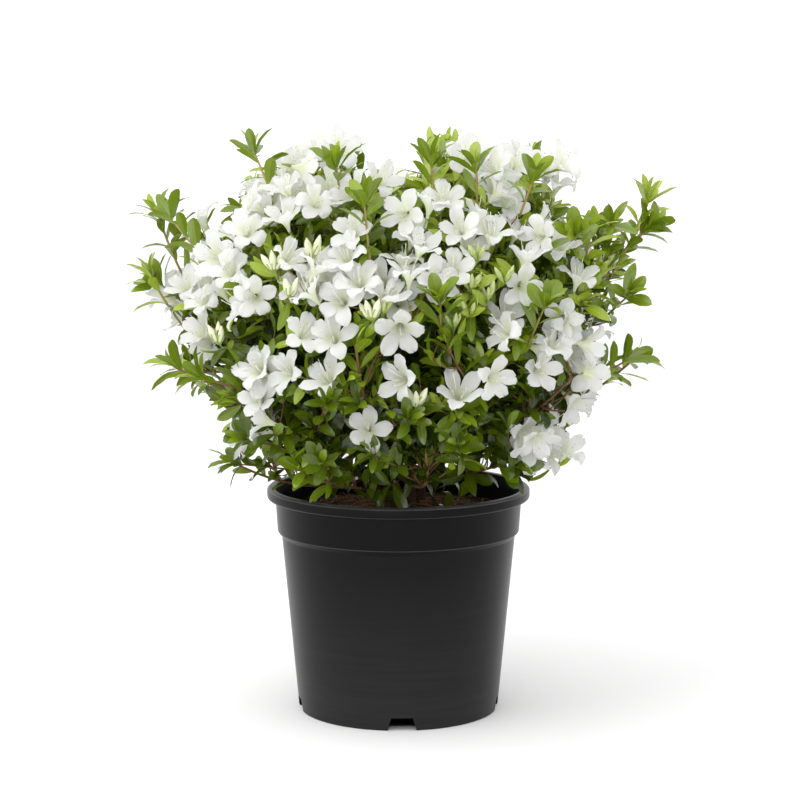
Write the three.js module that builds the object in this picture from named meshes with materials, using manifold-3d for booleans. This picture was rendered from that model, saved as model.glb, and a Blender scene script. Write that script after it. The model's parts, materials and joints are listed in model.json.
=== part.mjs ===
// A white-flowering azalea shrub in its black nursery pot, at real size in millimetres, with +Z up.
// The origin is the centre of the pot's flat underside. The plant is seen from the front by looking
// along +Y, so a bearing of -90 degrees points at the viewer, 0 to the right and 90 to the back.
// Six stems rise from the potting mix. Each ends in a mass of foliage and carries boughs that end in
// masses of their own. A mass is one leading shoot with twigs, leaves and blooms fused to it.
import * as THREE from "three";
import { mergeVertices } from "three/addons/utils/BufferGeometryUtils.js";
import Module from "manifold-3d";

const wasm = await Module();
wasm.setup();

const { degToRad, radToDeg, lerp } = THREE.MathUtils;

// The gap kept between two pieces that touch on the real plant.
const GAP = 0.3;

// The nursery pot: a tapering body, a wider collar under the rim, and a turned-over rim.
const POT_HEIGHT = 214;
const RIM_RADIUS = 125;
const RIM_DEPTH = 10;
const RIM_ROUNDING = 2.4;
const LIP_RADIUS = 117.7;
const COLLAR_TOP_RADIUS = 117.2;
const COLLAR_FOOT_RADIUS = 114.7;
const COLLAR_FOOT_HEIGHT = 166;
const BODY_TOP_RADIUS = 110.5;
const BODY_TOP_HEIGHT = 161;
const BODY_FOOT_RADIUS = 96;
const BODY_FOOT_HEIGHT = 6;
const BASE_RADIUS = 92.4;
const WALL = 2.4;
const FLOOR = 3;
const POT_SIDES = 40;
// Four drainage notches cut the corner between wall and floor. One faces the viewer.
const NOTCHES = 4;
const NOTCH_FOOT_WIDTH = 30;
const NOTCH_TOP_WIDTH = 22;
const NOTCH_HEIGHT = 10.5;
const NOTCH_DEPTH = 14;
const NOTCH_BEARING = -87;

// The potting mix stands this far below the rim.
const SOIL_BELOW_RIM = 25;
const SOIL_TOP = POT_HEIGHT - SOIL_BELOW_RIM;

// The stems' feet stand on a small ring, and the crown spreads from a point just above it.
const STEM_RING_RADIUS = 21;
const HEART = new THREE.Vector3(0, 0, SOIL_TOP + 12);

// Limb radii, and how each limb tapers from its foot to its tip.
const STEM_RADIUS = 4.6;
const STEM_TIP_RADIUS = 2.3;
const FLARE_RADIUS = 8.5;
const FLARE_LENGTH = 18;
// The stem is drawn this far into the potting mix and then cut flat above it.
const FOOT_TRIM = 3;
const BOUGH_RADIUS = 2.9;
const BOUGH_TIP_RADIUS = 2.1;
const LEADER_RADIUS = 2.1;
const LEADER_TIP_RADIUS = 1.4;
const TWIG_RADIUS = 1.05;
const TWIG_TIP_RADIUS = 0.9;
// How many straight runs and sides each kind of limb has.
const STEM_RUNS = 6;
const STEM_SIDES = 6;
const BOUGH_RUNS = 4;
const BOUGH_SIDES = 5;
const LEADER_RUNS = 4;
const LEADER_SIDES = 4;
const TWIG_SIDES = 3;

// How soon a stem leans over, where the boughs fork from it, and how far a bough sags.
const STEM_LEAN = 0.35;
const LOWEST_FORK = 0.16;
const HIGHEST_FORK = 0.78;
const BOUGH_SAG = 0.1;

// A limb ends and its mass begins at this share of the way from the heart to the leading shoot's tip.
const MASS_START = 0.44;
// Twigs leave the leader this far apart, at the golden angle round it, and turn up towards the light.
const TWIG_SPACING = 24;
const MOST_TWIGS = 100;
const FIRST_TWIG = 0.12;
const LAST_TWIG = 0.84;
const TWIG_LENGTH = 66;
const TWIG_SHORTEST = 0.6;
const TWIG_RISE = 0.3;
const TWIG_SHORTENINGS = [1, 0.8, 0.6, 0.45];
const GOLDEN_ANGLE = 137.5;
const TURN_JITTER = 14;
const SPLAY_AT_FOOT = 66;
const SPLAY_AT_TIP = 42;
const SPLAY_JITTER = 6;
const LENGTH_JITTER = 0.15;
// A mass keeps this margin to the half-way surface between its leader and the next one, and to
// every limb, and keeps clear of the pot.
const MARGIN = 1;
const POT_CLEARANCE = 3;

// Leaves stand round the shoots' tips, each a step behind the one before. They are drawn larger than
// the real 28 mm, because the real shrub has several thousand.
const LEAF_LENGTH = 44;
const LEAF_WIDTH = 17;
const LEAF_THICKNESS = 1.5;
const LEAF_ARCH = 0.1;
const LEAF_ROOT = 0.25;
const LEAF_STEP = 2;
const LEAF_JITTER = 0.14;
const LEAF_SHORTENINGS = [1, 0.8];
const LEAVES_AT_LEADER_TIP = 5;
const LEAVES_AT_TWIG_TIP = 3;
const LEAVES_BEHIND_BLOOM = 1;
// Leaves round one tip open by turns little and wide, so that they pass each other.
const LEAF_OPENINGS = [34, 62];

// One bloom is a funnel with five lobes.
const BLOOM_RADIUS = 21;
const BLOOM_DEPTH = 17;
const BLOOM_LOBES = 5;
const BLOOM_VALLEY = 0.74;
const BLOOM_HOLLOW = 7;
const BLOOM_ROOT = 0.3;
const BLOOM_CLEARANCE = 31;
const BLOOM_MARGIN = 6;
const BLOOM_PLACES = [1, 0.82, 0.66];
// A bloom faces part of the way from its twig's direction to straight out of the crown.
const BLOOM_OUTWARD = 0.67;
const LEAF_BEHIND_BLOOM = 0.75;

// Side twigs, leaves and blooms stay inside this dome. Only the leading shoots pierce it.
const DOME_REACH = 256;
const DOME_MIDDLE = 372;
const DOME_ABOVE = 190;
const DOME_BELOW = 158;
const DOME_POWER = 3;

// Every mass: its bearing from the pot's axis in degrees, the reach and height of its leading
// shoot's tip, and the share of its twigs that end in a bloom. The first six stand on the stems.
const STEM_MASSES = [
  { name: "top_left", bearing: 174, reach: 128, height: 518, bloom: 0.5 },
  { name: "top_back_left", bearing: 118, reach: 80, height: 520, bloom: 0.8 },
  { name: "top_back_right", bearing: 62, reach: 100, height: 520, bloom: 0.8 },
  { name: "top_right", bearing: 12, reach: 130, height: 512, bloom: 0.8 },
  { name: "top_front", bearing: -55, reach: 52, height: 514, bloom: 0.5 },
  { name: "front_leader", bearing: -104, reach: 118, height: 486, bloom: 0.6 },
];
const BOUGH_MASSES = [
  { name: "right_high", bearing: -3, reach: 226, height: 468, bloom: 0.15 },
  { name: "front_right_high", bearing: -32, reach: 200, height: 448, bloom: 0.75 },
  { name: "front_high", bearing: -66, reach: 168, height: 442, bloom: 0.9 },
  { name: "front_left_high", bearing: -136, reach: 172, height: 452, bloom: 0.9 },
  { name: "left_high", bearing: 178, reach: 220, height: 452, bloom: 0.15 },
  { name: "back_left_high", bearing: 134, reach: 190, height: 458, bloom: 0.6 },
  { name: "back_right_high", bearing: 44, reach: 192, height: 460, bloom: 0.6 },
  { name: "back_high", bearing: 90, reach: 168, height: 452, bloom: 0.6 },
  { name: "right_low", bearing: -5, reach: 224, height: 340, bloom: 0.35 },
  { name: "front_right_middle", bearing: -36, reach: 205, height: 345, bloom: 0.7 },
  { name: "front_middle_right", bearing: -68, reach: 195, height: 342, bloom: 0.7 },
  { name: "front_middle", bearing: -100, reach: 198, height: 352, bloom: 0.7 },
  { name: "front_left_middle", bearing: -134, reach: 200, height: 338, bloom: 0.65 },
  { name: "left_middle", bearing: -170, reach: 222, height: 398, bloom: 0.55 },
  { name: "left_low", bearing: 170, reach: 208, height: 318, bloom: 0.2 },
  { name: "back_left_middle", bearing: 127, reach: 208, height: 345, bloom: 0.5 },
  { name: "back_right_middle", bearing: 72, reach: 212, height: 342, bloom: 0.5 },
  { name: "right_back_middle", bearing: 28, reach: 216, height: 372, bloom: 0.4 },
  { name: "right_base", bearing: -20, reach: 158, height: 266, bloom: 0.75 },
  { name: "front_base", bearing: -80, reach: 146, height: 258, bloom: 0.1 },
  { name: "front_left_base", bearing: -122, reach: 150, height: 246, bloom: 0.2 },
  { name: "left_base", bearing: -164, reach: 150, height: 238, bloom: 0 },
];

const MATERIALS = {
  pot: new THREE.MeshStandardMaterial({ color: 0x1b1c1e, roughness: 0.45, metalness: 0 }),
  soil: new THREE.MeshStandardMaterial({ color: 0x2b1a10, roughness: 0.95, metalness: 0 }),
  bark: new THREE.MeshStandardMaterial({ color: 0x5b3c26, roughness: 0.85, metalness: 0 }),
  foliage: new THREE.MeshStandardMaterial({ color: 0x5f8f2c, roughness: 0.5, metalness: 0 }),
};

// Repeatable random numbers from 0 to 1, by a linear congruential rule.
class Chance {
  constructor(seed) {
    this.state = seed >>> 0;
    this.next();
  }
  next() {
    this.state = (Math.imul(1664525, this.state) + 1013904223) >>> 0;
    return this.state / 4294967296;
  }
  between(low, high) {
    return low + (high - low) * this.next();
  }
}

// A closed geometry as a solid that can be joined and cut.
function solidOf(geometry) {
  const bare = geometry.clone();
  bare.deleteAttribute("normal");
  bare.deleteAttribute("uv");
  const merged = mergeVertices(bare, 1e-4);
  return new wasm.Manifold(
    new wasm.Mesh({
      numProp: 3,
      vertProperties: merged.attributes.position.array,
      triVerts: new Uint32Array(merged.index.array),
    }),
  );
}

// The largest body of a solid, back as a geometry. Loose scraps are dropped.
function geometryOf(solid) {
  const bodies = solid.decompose();
  const largest = bodies.reduce((a, b) => (b.volume() > a.volume() ? b : a));
  const mesh = largest.getMesh();
  return new THREE.BufferGeometry()
    .setAttribute("position", new THREE.BufferAttribute(new Float32Array(mesh.vertProperties), 3))
    .setIndex(new THREE.BufferAttribute(new Uint32Array(mesh.triVerts), 1));
}

function pointAt(bearing, reach, height) {
  const angle = degToRad(bearing);
  return new THREE.Vector3(reach * Math.cos(angle), reach * Math.sin(angle), height);
}

// The unit vector that leaves `along` by `splay` degrees, at `turn` degrees round it.
function splayed(along, splay, turn) {
  const side = new THREE.Vector3(0, 0, 1).cross(along);
  if (side.lengthSq() < 1e-4) side.set(1, 0, 0);
  side.normalize().applyAxisAngle(along, degToRad(turn));
  return along.clone().applyAxisAngle(side, degToRad(splay));
}

// A limb is made of straight runs, kept as their end points. This gives the point at a share of
// the way along them, and the direction there.
function alongRuns(runs, share) {
  const place = Math.min(share * (runs.length - 1), runs.length - 1.001);
  const i = Math.floor(place);
  const point = runs[i].clone().lerp(runs[i + 1], place - i);
  const direction = runs[i + 1].clone().sub(runs[i]).normalize();
  return { point, direction };
}

// A round limb along straight runs: a cylinder bent to them, with its radius set along the way.
function limb(runs, radiusAt, sides) {
  const steps = runs.length - 1;
  const geometry = new THREE.CylinderGeometry(1, 1, 1, sides, steps);
  const position = geometry.attributes.position;
  const chord = runs[steps].clone().sub(runs[0]);
  const across = new THREE.Vector3(0, 0, 1).cross(chord);
  if (across.lengthSq() < 1e-4 * chord.lengthSq()) across.set(1, 0, 0);
  across.normalize();
  for (let i = 0; i < position.count; i++) {
    const share = position.getY(i) + 0.5;
    const k = Math.round(share * steps);
    const before = runs[Math.max(k - 1, 0)];
    const after = runs[Math.min(k + 1, steps)];
    const tangent = after.clone().sub(before).normalize();
    const up = tangent.clone().cross(across).normalize();
    const side = up.clone().cross(tangent).normalize();
    const radius = radiusAt(share);
    const point = runs[k]
      .clone()
      .addScaledVector(side, radius * position.getZ(i))
      .addScaledVector(up, radius * position.getX(i));
    position.setXYZ(i, point.x, point.y, point.z);
  }
  return geometry;
}

const taper = (from, to) => (share) => lerp(from, to, share);

// A leaf is a long three-sided double pyramid: flat above, keeled below, with its tip arched down
// and its root inside the twig.
function leaf(root, direction, facing, length) {
  const geometry = new THREE.SphereGeometry(1, 3, 2);
  // The sphere's three corners stand 1.5 apart along X and the root of three apart along Z.
  geometry.scale(LEAF_THICKNESS / 1.5, (length + LEAF_ROOT) / 2, LEAF_WIDTH / Math.sqrt(3));
  geometry.scale(1, 1, length / LEAF_LENGTH);
  geometry.translate(0, (length - LEAF_ROOT) / 2, 0);
  const position = geometry.attributes.position;
  for (let i = 0; i < position.count; i++) {
    const atTip = position.getY(i) > length - LEAF_ROOT;
    if (atTip) position.setX(i, -length * LEAF_ARCH);
  }
  const normal = facing.clone().addScaledVector(direction, -facing.dot(direction)).normalize();
  const across = normal.clone().cross(direction);
  const frame = new THREE.Matrix4().makeBasis(normal, direction, across).setPosition(root);
  return geometry.applyMatrix4(frame);
}

// A bloom is a cone on its point, whose rim runs out to the tip of each lobe and back to the valley
// between, and whose mouth is hollow.
function funnel(root, axis, tips) {
  const sides = 2 * tips.length;
  const geometry = new THREE.ConeGeometry(1, 1, sides, 1);
  const position = geometry.attributes.position;
  const foot = root.clone().addScaledVector(axis, -BLOOM_ROOT);
  const throat = root.clone().addScaledVector(axis, BLOOM_HOLLOW);
  for (let i = 0; i < position.count; i++) {
    const x = position.getX(i);
    const z = position.getZ(i);
    const side = (Math.round((Math.atan2(x, z) / (2 * Math.PI)) * sides) + sides) % sides;
    const tip = tips[Math.floor(side / 2)];
    const next = tips[Math.ceil(side / 2) % tips.length];
    let point = side % 2 === 0 ? tip : root.clone().lerp(tip.clone().lerp(next, 0.5), BLOOM_VALLEY);
    if (position.getY(i) > 0) point = foot;
    else if (Math.hypot(x, z) < 0.5) point = throat;
    position.setXYZ(i, point.x, point.y, point.z);
  }
  return geometry;
}

// Directions evenly round an axis, opened away from it by the angles in turn.
function openings(axis, turn, count, angles) {
  const side = new THREE.Vector3(0, 0, 1).cross(axis);
  if (side.lengthSq() < 1e-4) side.set(1, 0, 0);
  side.normalize().applyAxisAngle(axis, degToRad(turn));
  return Array.from({ length: count }, (_, i) => {
    const angle = degToRad(angles[i % angles.length]);
    const away = side.clone().applyAxisAngle(axis, degToRad((-i * 360) / count));
    return away.multiplyScalar(Math.sin(angle)).addScaledVector(axis, Math.cos(angle));
  });
}

function distanceTo(runs, point) {
  const nearest = new THREE.Vector3();
  let least = Infinity;
  for (let i = 1; i < runs.length; i++) {
    new THREE.Line3(runs[i - 1], runs[i]).closestPointToPoint(point, true, nearest);
    least = Math.min(least, nearest.distanceTo(point));
  }
  return least;
}

// A limb reaches from its foot to its mass's start. The leading shoot goes on from there to its tip.
function planMass(row) {
  const tip = pointAt(row.bearing, row.reach, row.height);
  return { ...row, tip, start: HEART.clone().lerp(tip, MASS_START) };
}

// A stem rises from its foot, then leans over towards the tip that it leads to.
function planStem(row) {
  const mass = planMass(row);
  const foot = pointAt(row.bearing, STEM_RING_RADIUS, SOIL_TOP - FOOT_TRIM);
  const rise = mass.start.z - foot.z;
  const first = foot.clone().add(new THREE.Vector3(0, 0, rise * STEM_LEAN));
  const lean = mass.tip.clone().sub(mass.start).normalize();
  const second = mass.start.clone().addScaledVector(lean, -rise * STEM_LEAN);
  const curve = new THREE.CubicBezierCurve3(foot, first, second, mass.start);
  mass.limb = curve.getPoints(STEM_RUNS);
  mass.length = curve.getLength();
  return mass;
}

// A bough leaves the stem whose bearing is nearest to its own. The lowest mass has the lowest fork.
function planBoughs(rows, stems) {
  const turnBetween = (a, b) => Math.abs(((a - b + 540) % 360) - 180);
  const carried = new Map(stems.map((stem) => [stem, []]));
  for (const row of rows) {
    const nearest = stems.reduce((a, b) =>
      turnBetween(b.bearing, row.bearing) < turnBetween(a.bearing, row.bearing) ? b : a,
    );
    carried.get(nearest).push(planMass(row));
  }
  const planned = [];
  for (const [stem, family] of carried) {
    family.sort((a, b) => a.height - b.height);
    family.forEach((mass, i) => {
      const fork = alongRuns(stem.limb, lerp(LOWEST_FORK, HIGHEST_FORK, (i + 0.5) / family.length));
      const span = mass.start.clone().sub(fork.point);
      const bend = fork.point.clone().addScaledVector(span, 0.5);
      bend.z -= span.length() * BOUGH_SAG;
      const curve = new THREE.QuadraticBezierCurve3(fork.point, bend, mass.start);
      mass.limb = curve.getPoints(BOUGH_RUNS);
      mass.stem = stem;
      planned.push(mass);
    });
  }
  return planned;
}

const stemMasses = STEM_MASSES.map(planStem);
const boughMasses = planBoughs(BOUGH_MASSES, stemMasses);
const masses = [...stemMasses, ...boughMasses];

// The leading shoot goes on in its limb's direction, then turns up to its tip.
for (const mass of masses) {
  const onward = alongRuns(mass.limb, 1).direction;
  const start = mass.start.clone().addScaledVector(onward, GAP);
  const bend = start.clone().addScaledVector(onward, start.distanceTo(mass.tip) * 0.5);
  mass.leader = new THREE.QuadraticBezierCurve3(start, bend, mass.tip).getPoints(LEADER_RUNS);
}

// A point is in a mass's space if it is nearer to that mass's leader than to any other, clear of
// every limb, and clear of the pot and the potting mix.
function isFree(point, mass, radius = 0) {
  const axisDistance = Math.hypot(point.x, point.y);
  const inside = axisDistance < COLLAR_FOOT_RADIUS - WALL - 2 * POT_CLEARANCE;
  const outside = axisDistance > RIM_RADIUS + POT_CLEARANCE;
  const floor = inside ? SOIL_TOP : outside ? -Infinity : POT_HEIGHT;
  if (point.z < floor + POT_CLEARANCE + radius) return false;
  const own = distanceTo(mass.leader, point);
  for (const other of masses) {
    if (other !== mass && distanceTo(other.leader, point) < own + 2 * MARGIN + radius) return false;
    const toLimb = distanceTo(other.limb, point);
    // Beside its own leader's foot a shoot may come near the limb that carries it.
    if (toLimb < STEM_RADIUS + MARGIN + radius && (other !== mass || own > toLimb)) return false;
  }
  return true;
}

// The dome's outline is rounder than a box and squarer than a ball.
function isInDome(point) {
  const out = Math.hypot(point.x, point.y) / DOME_REACH;
  const rise = point.z - DOME_MIDDLE;
  const up = Math.abs(rise) / (rise > 0 ? DOME_ABOVE : DOME_BELOW);
  return out ** DOME_POWER + up ** DOME_POWER < 1;
}

// A blade from a root to its tip is free if points along it are free, with room for its width.
function bladeIsFree(root, tip, width, mass) {
  const alongIt = [0.3, 0.5, 0.75, 1];
  return alongIt.every((share) => isFree(root.clone().lerp(tip, share), mass, (width / 2) * (1 - share)));
}

// A side twig turns up towards the light. It is shortened until it keeps to its mass's space.
function twigFrom(start, direction, length, mass) {
  for (const share of TWIG_SHORTENINGS) {
    const end = start.clone().addScaledVector(direction, length * share);
    end.z += length * share * TWIG_RISE;
    const free = [0.5, 0.7, 0.85, 1].every((s) => isFree(start.clone().lerp(end, s), mass, TWIG_RADIUS));
    if (free && isInDome(end)) return [start, end];
  }
  return null;
}

// Leaves round a shoot's tip. A leaf that has no room is shortened or left out.
function whorl(tip, axis, count, turn, chance, mass) {
  const leaves = openings(axis, turn, count, LEAF_OPENINGS).map((direction, i) => {
    const size = LEAF_LENGTH * chance.between(1 - LEAF_JITTER, 1 + LEAF_JITTER);
    const root = tip.clone().addScaledVector(axis, -LEAF_STEP * (i + 0.6));
    const share = LEAF_SHORTENINGS.find((part) => {
      const end = root.clone().addScaledVector(direction, size * part);
      return bladeIsFree(root, end, LEAF_WIDTH, mass) && (tip === mass.tip || isInDome(end));
    });
    return share ? leaf(root, direction, axis, size * share) : null;
  });
  return leaves.filter(Boolean);
}

// A bloom opens only where all its lobes have room, and not against another bloom.
const bloomPlaces = [];

function bloom(tip, axis, turn, mass) {
  const centre = tip.clone().addScaledVector(axis, BLOOM_DEPTH);
  if (bloomPlaces.some((place) => place.distanceTo(centre) < BLOOM_CLEARANCE)) return null;
  const angle = radToDeg(Math.atan2(BLOOM_RADIUS, BLOOM_DEPTH));
  const size = Math.hypot(BLOOM_RADIUS, BLOOM_DEPTH);
  const tips = openings(axis, turn, BLOOM_LOBES, [angle]).map((direction) =>
    tip.clone().addScaledVector(direction, size),
  );
  if (!tips.every((end) => bladeIsFree(tip, end, BLOOM_MARGIN, mass) && isInDome(end))) return null;
  bloomPlaces.push(centre);
  return funnel(tip, axis, tips);
}

// A side twig with a bloom or a whorl of leaves at its tip, as separate pieces. A bloom with no room
// at the tip is tried further back, and a twig that can carry nothing is left out.
function twigPieces(twig, flowers, spin, chance, mass) {
  const [root, end] = twig;
  const along = end.clone().sub(root).normalize();
  const twigTo = (tip) => limb([root, tip], taper(TWIG_RADIUS, TWIG_TIP_RADIUS), TWIG_SIDES);
  for (const share of flowers ? BLOOM_PLACES : []) {
    const tip = root.clone().lerp(end, share);
    const outward = tip.clone().sub(HEART).normalize();
    const opened = bloom(tip, along.clone().lerp(outward, BLOOM_OUTWARD).normalize(), spin, mass);
    if (!opened) continue;
    const behind = root.clone().lerp(tip, LEAF_BEHIND_BLOOM);
    return [twigTo(tip), opened, ...whorl(behind, along, LEAVES_BEHIND_BLOOM, spin, chance, mass)];
  }
  const leaves = whorl(end, along, LEAVES_AT_TWIG_TIP, spin, chance, mass);
  return leaves.length > 0 ? [twigTo(end), ...leaves] : [];
}

// A mass as separate closed pieces: the leading shoot and its whorl, then each side twig. Each twig
// has its own random numbers, so that what one of them carries leaves the others as they are.
function massPieces(mass, seed) {
  const shootChance = new Chance(seed);
  const twigs = Math.max(3, Math.round(mass.start.distanceTo(mass.tip) / TWIG_SPACING));
  const phase = shootChance.between(0, 360);
  const forward = alongRuns(mass.leader, 1).direction;
  const pieces = [limb(mass.leader, taper(LEADER_RADIUS, LEADER_TIP_RADIUS), LEADER_SIDES)];
  pieces.push(...whorl(mass.tip, forward, LEAVES_AT_LEADER_TIP, phase, shootChance, mass));
  for (let i = 0; i < twigs; i++) {
    const chance = new Chance(seed * MOST_TWIGS + i);
    const share = lerp(FIRST_TWIG, LAST_TWIG, i / (twigs - 1));
    const turn = phase + i * GOLDEN_ANGLE + chance.between(-TURN_JITTER, TURN_JITTER);
    const splay = lerp(SPLAY_AT_FOOT, SPLAY_AT_TIP, share) + chance.between(-SPLAY_JITTER, SPLAY_JITTER);
    const jitter = chance.between(1 - LENGTH_JITTER, 1 + LENGTH_JITTER);
    const reach = TWIG_LENGTH * lerp(1, TWIG_SHORTEST, share) * jitter;
    const flowers = chance.next() < mass.bloom;
    const spin = chance.between(0, 360);
    const { point, direction } = alongRuns(mass.leader, share);
    const twig = twigFrom(point, splayed(direction, splay, turn), reach, mass);
    if (twig) pieces.push(...twigPieces(twig, flowers, spin, chance, mass));
  }
  return pieces;
}

// A solid of revolution about Z, from its outline's radii and heights.
function turned(points) {
  const outline = points.map(([radius, height]) => new THREE.Vector2(radius, height));
  return new THREE.LatheGeometry(outline, POT_SIDES).rotateX(Math.PI / 2);
}

const INNER_WALL = [
  [BASE_RADIUS, FLOOR],
  [BODY_TOP_RADIUS - WALL, BODY_TOP_HEIGHT],
  [COLLAR_FOOT_RADIUS - WALL, COLLAR_FOOT_HEIGHT],
];

function potGeometry() {
  const rimFoot = POT_HEIGHT - RIM_DEPTH;
  const outside = [
    [0, 0],
    [BASE_RADIUS, 0],
    [BODY_FOOT_RADIUS, BODY_FOOT_HEIGHT],
    [BODY_TOP_RADIUS, BODY_TOP_HEIGHT],
    [COLLAR_FOOT_RADIUS, COLLAR_FOOT_HEIGHT],
    [COLLAR_TOP_RADIUS, rimFoot],
    [RIM_RADIUS - RIM_ROUNDING / 2, rimFoot],
    [RIM_RADIUS, rimFoot + RIM_ROUNDING],
    [RIM_RADIUS, POT_HEIGHT - RIM_ROUNDING],
    [RIM_RADIUS - RIM_ROUNDING, POT_HEIGHT],
    [LIP_RADIUS, POT_HEIGHT],
    [COLLAR_TOP_RADIUS - WALL, rimFoot],
  ];
  const profile = [...outside, ...[...INNER_WALL].reverse(), [0, FLOOR]];
  let pot = solidOf(turned(profile));
  for (let i = 0; i < NOTCHES; i++) pot = pot.subtract(solidOf(notchGeometry(i)));
  return geometryOf(pot);
}

// The cutter for one drainage notch: a trapezium pushed through the foot of the wall.
function notchGeometry(index) {
  const outline = new THREE.Shape([
    new THREE.Vector2(-NOTCH_FOOT_WIDTH / 2, -1),
    new THREE.Vector2(NOTCH_FOOT_WIDTH / 2, -1),
    new THREE.Vector2(NOTCH_TOP_WIDTH / 2, NOTCH_HEIGHT),
    new THREE.Vector2(-NOTCH_TOP_WIDTH / 2, NOTCH_HEIGHT),
  ]);
  const cutter = new THREE.ExtrudeGeometry(outline, { depth: 2 * NOTCH_DEPTH, bevelEnabled: false });
  cutter.rotateX(Math.PI / 2).rotateZ(Math.PI / 2);
  cutter.translate(BODY_FOOT_RADIUS - NOTCH_DEPTH, 0, 0);
  return cutter.rotateZ(degToRad(NOTCH_BEARING + (index * 360) / NOTCHES));
}

// The potting mix fills the pot, clear of its wall and floor.
function soilGeometry() {
  const [foot, bodyTop, collarFoot] = INNER_WALL;
  const rise = (SOIL_TOP - COLLAR_FOOT_HEIGHT) / (POT_HEIGHT - RIM_DEPTH - COLLAR_FOOT_HEIGHT);
  const topRadius = lerp(COLLAR_FOOT_RADIUS, COLLAR_TOP_RADIUS, rise) - WALL;
  return turned([
    [0, FLOOR + GAP],
    [foot[0] - GAP, FLOOR + GAP],
    [bodyTop[0] - GAP, bodyTop[1]],
    [collarFoot[0] - GAP, collarFoot[1] + GAP],
    [topRadius - GAP, SOIL_TOP],
    [0, SOIL_TOP],
  ]);
}

// A stem flares to its foot, where it is cut flat at the level of the potting mix.
function stemRadius(mass, grown = 0) {
  return (share) => {
    const flare = Math.max(0, 1 - (share * mass.length) / FLARE_LENGTH);
    return lerp(STEM_RADIUS, STEM_TIP_RADIUS, share) + (FLARE_RADIUS - STEM_RADIUS) * flare ** 2 + grown;
  };
}

function stemGeometry(mass) {
  const slab = new THREE.BoxGeometry(2 * LIP_RADIUS, 2 * LIP_RADIUS, 2 * FLARE_LENGTH);
  slab.translate(0, 0, SOIL_TOP + GAP - FLARE_LENGTH);
  const stem = solidOf(limb(mass.limb, stemRadius(mass), STEM_SIDES));
  return geometryOf(stem.subtract(solidOf(slab)));
}

const group = new THREE.Group();

function place(name, geometry, material) {
  const mesh = new THREE.Mesh(geometry, material);
  mesh.name = name;
  group.add(mesh);
}

place("pot", potGeometry(), MATERIALS.pot);
place("potting_mix", soilGeometry(), MATERIALS.soil);
for (const mass of stemMasses) {
  place("stem_" + mass.name, stemGeometry(mass), MATERIALS.bark);
}
for (const mass of boughMasses) {
  const bough = solidOf(limb(mass.limb, taper(BOUGH_RADIUS, BOUGH_TIP_RADIUS), BOUGH_SIDES));
  const seat = solidOf(limb(mass.stem.limb, stemRadius(mass.stem, GAP), STEM_SIDES));
  place("bough_" + mass.name, geometryOf(bough.subtract(seat)), MATERIALS.bark);
}
masses.forEach((mass, i) => {
  const FIRST_SEED = 31;
  const solids = massPieces(mass, FIRST_SEED + i).map(solidOf);
  const fused = solids.reduce((whole, piece) => whole.add(piece));
  place("foliage_" + mass.name, geometryOf(fused), MATERIALS.foliage);
});

export default group;
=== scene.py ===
# %% [markdown]
# # A white azalea in a black nursery pot
#
# This lesson dresses a potted azalea shrub for its portrait. The solid model gives the pot, the
# stems and boughs, and a coarse twiggy mass at the end of each limb. Here every one of them gets
# its real surface: satin plastic, fibrous potting mix, bark, thousands of leaves, and the white
# five-lobed flowers. All planning is done in millimetres, and the meshes are scaled to metres.

# %% Load the frame
import json
import math
import random

import bmesh
import bpy
import numpy as np
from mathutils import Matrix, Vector, noise

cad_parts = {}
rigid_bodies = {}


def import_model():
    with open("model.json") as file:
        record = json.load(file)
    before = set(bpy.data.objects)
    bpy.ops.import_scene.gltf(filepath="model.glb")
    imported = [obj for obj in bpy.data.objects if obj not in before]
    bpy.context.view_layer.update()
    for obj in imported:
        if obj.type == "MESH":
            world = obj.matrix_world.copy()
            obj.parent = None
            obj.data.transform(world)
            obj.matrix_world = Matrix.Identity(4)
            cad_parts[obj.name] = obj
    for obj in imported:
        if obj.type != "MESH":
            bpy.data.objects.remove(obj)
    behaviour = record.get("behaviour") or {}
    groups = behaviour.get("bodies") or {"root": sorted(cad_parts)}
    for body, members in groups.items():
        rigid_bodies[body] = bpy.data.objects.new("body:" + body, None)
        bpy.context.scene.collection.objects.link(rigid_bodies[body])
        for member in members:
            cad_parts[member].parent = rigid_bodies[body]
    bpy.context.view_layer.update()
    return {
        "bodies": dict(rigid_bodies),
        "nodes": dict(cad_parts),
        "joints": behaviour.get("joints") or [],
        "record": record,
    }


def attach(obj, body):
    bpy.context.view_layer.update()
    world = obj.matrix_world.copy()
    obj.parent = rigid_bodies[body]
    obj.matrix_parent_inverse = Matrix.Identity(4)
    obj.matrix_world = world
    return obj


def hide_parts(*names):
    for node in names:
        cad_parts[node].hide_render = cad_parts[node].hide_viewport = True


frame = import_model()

MM = 0.001

# %% [markdown]
# ## Camera
#
# A product photograph is taken from a good distance, so that the pot's sides hardly converge. The
# camera stands a little over two metres away at the height of the crown's top and looks slightly
# down. Its lens follows from how large the pot of known size appears in the frame.

# %% Camera
FRAME_PIXELS = 800
FOCAL_PIXELS = 2344
SENSOR_WIDTH = 36.0
CAMERA_PLACE = np.array((1.5, -2204.8, 588.1))
CAMERA_DIP = math.radians(7.535)
scene = bpy.context.scene


def placed(name, data):
    """A new object in the scene."""
    made = bpy.data.objects.new(name, data)
    scene.collection.objects.link(made)
    return made


def unit(vector):
    return vector / np.linalg.norm(vector)


def polar(angle, out, height=0):
    """The point at an angle round the axis, a distance out from it, and a height."""
    return np.array((math.cos(angle) * out, math.sin(angle) * out, height))


def sight_line(x, y):
    """The direction in which the camera sees a pixel of the frame."""
    across, up = (x - FRAME_PIXELS / 2) / FOCAL_PIXELS, (FRAME_PIXELS / 2 - y) / FOCAL_PIXELS
    level, down = math.cos(CAMERA_DIP), math.sin(CAMERA_DIP)
    return unit(np.array((across, level + up * down, up * level - down)))


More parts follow.
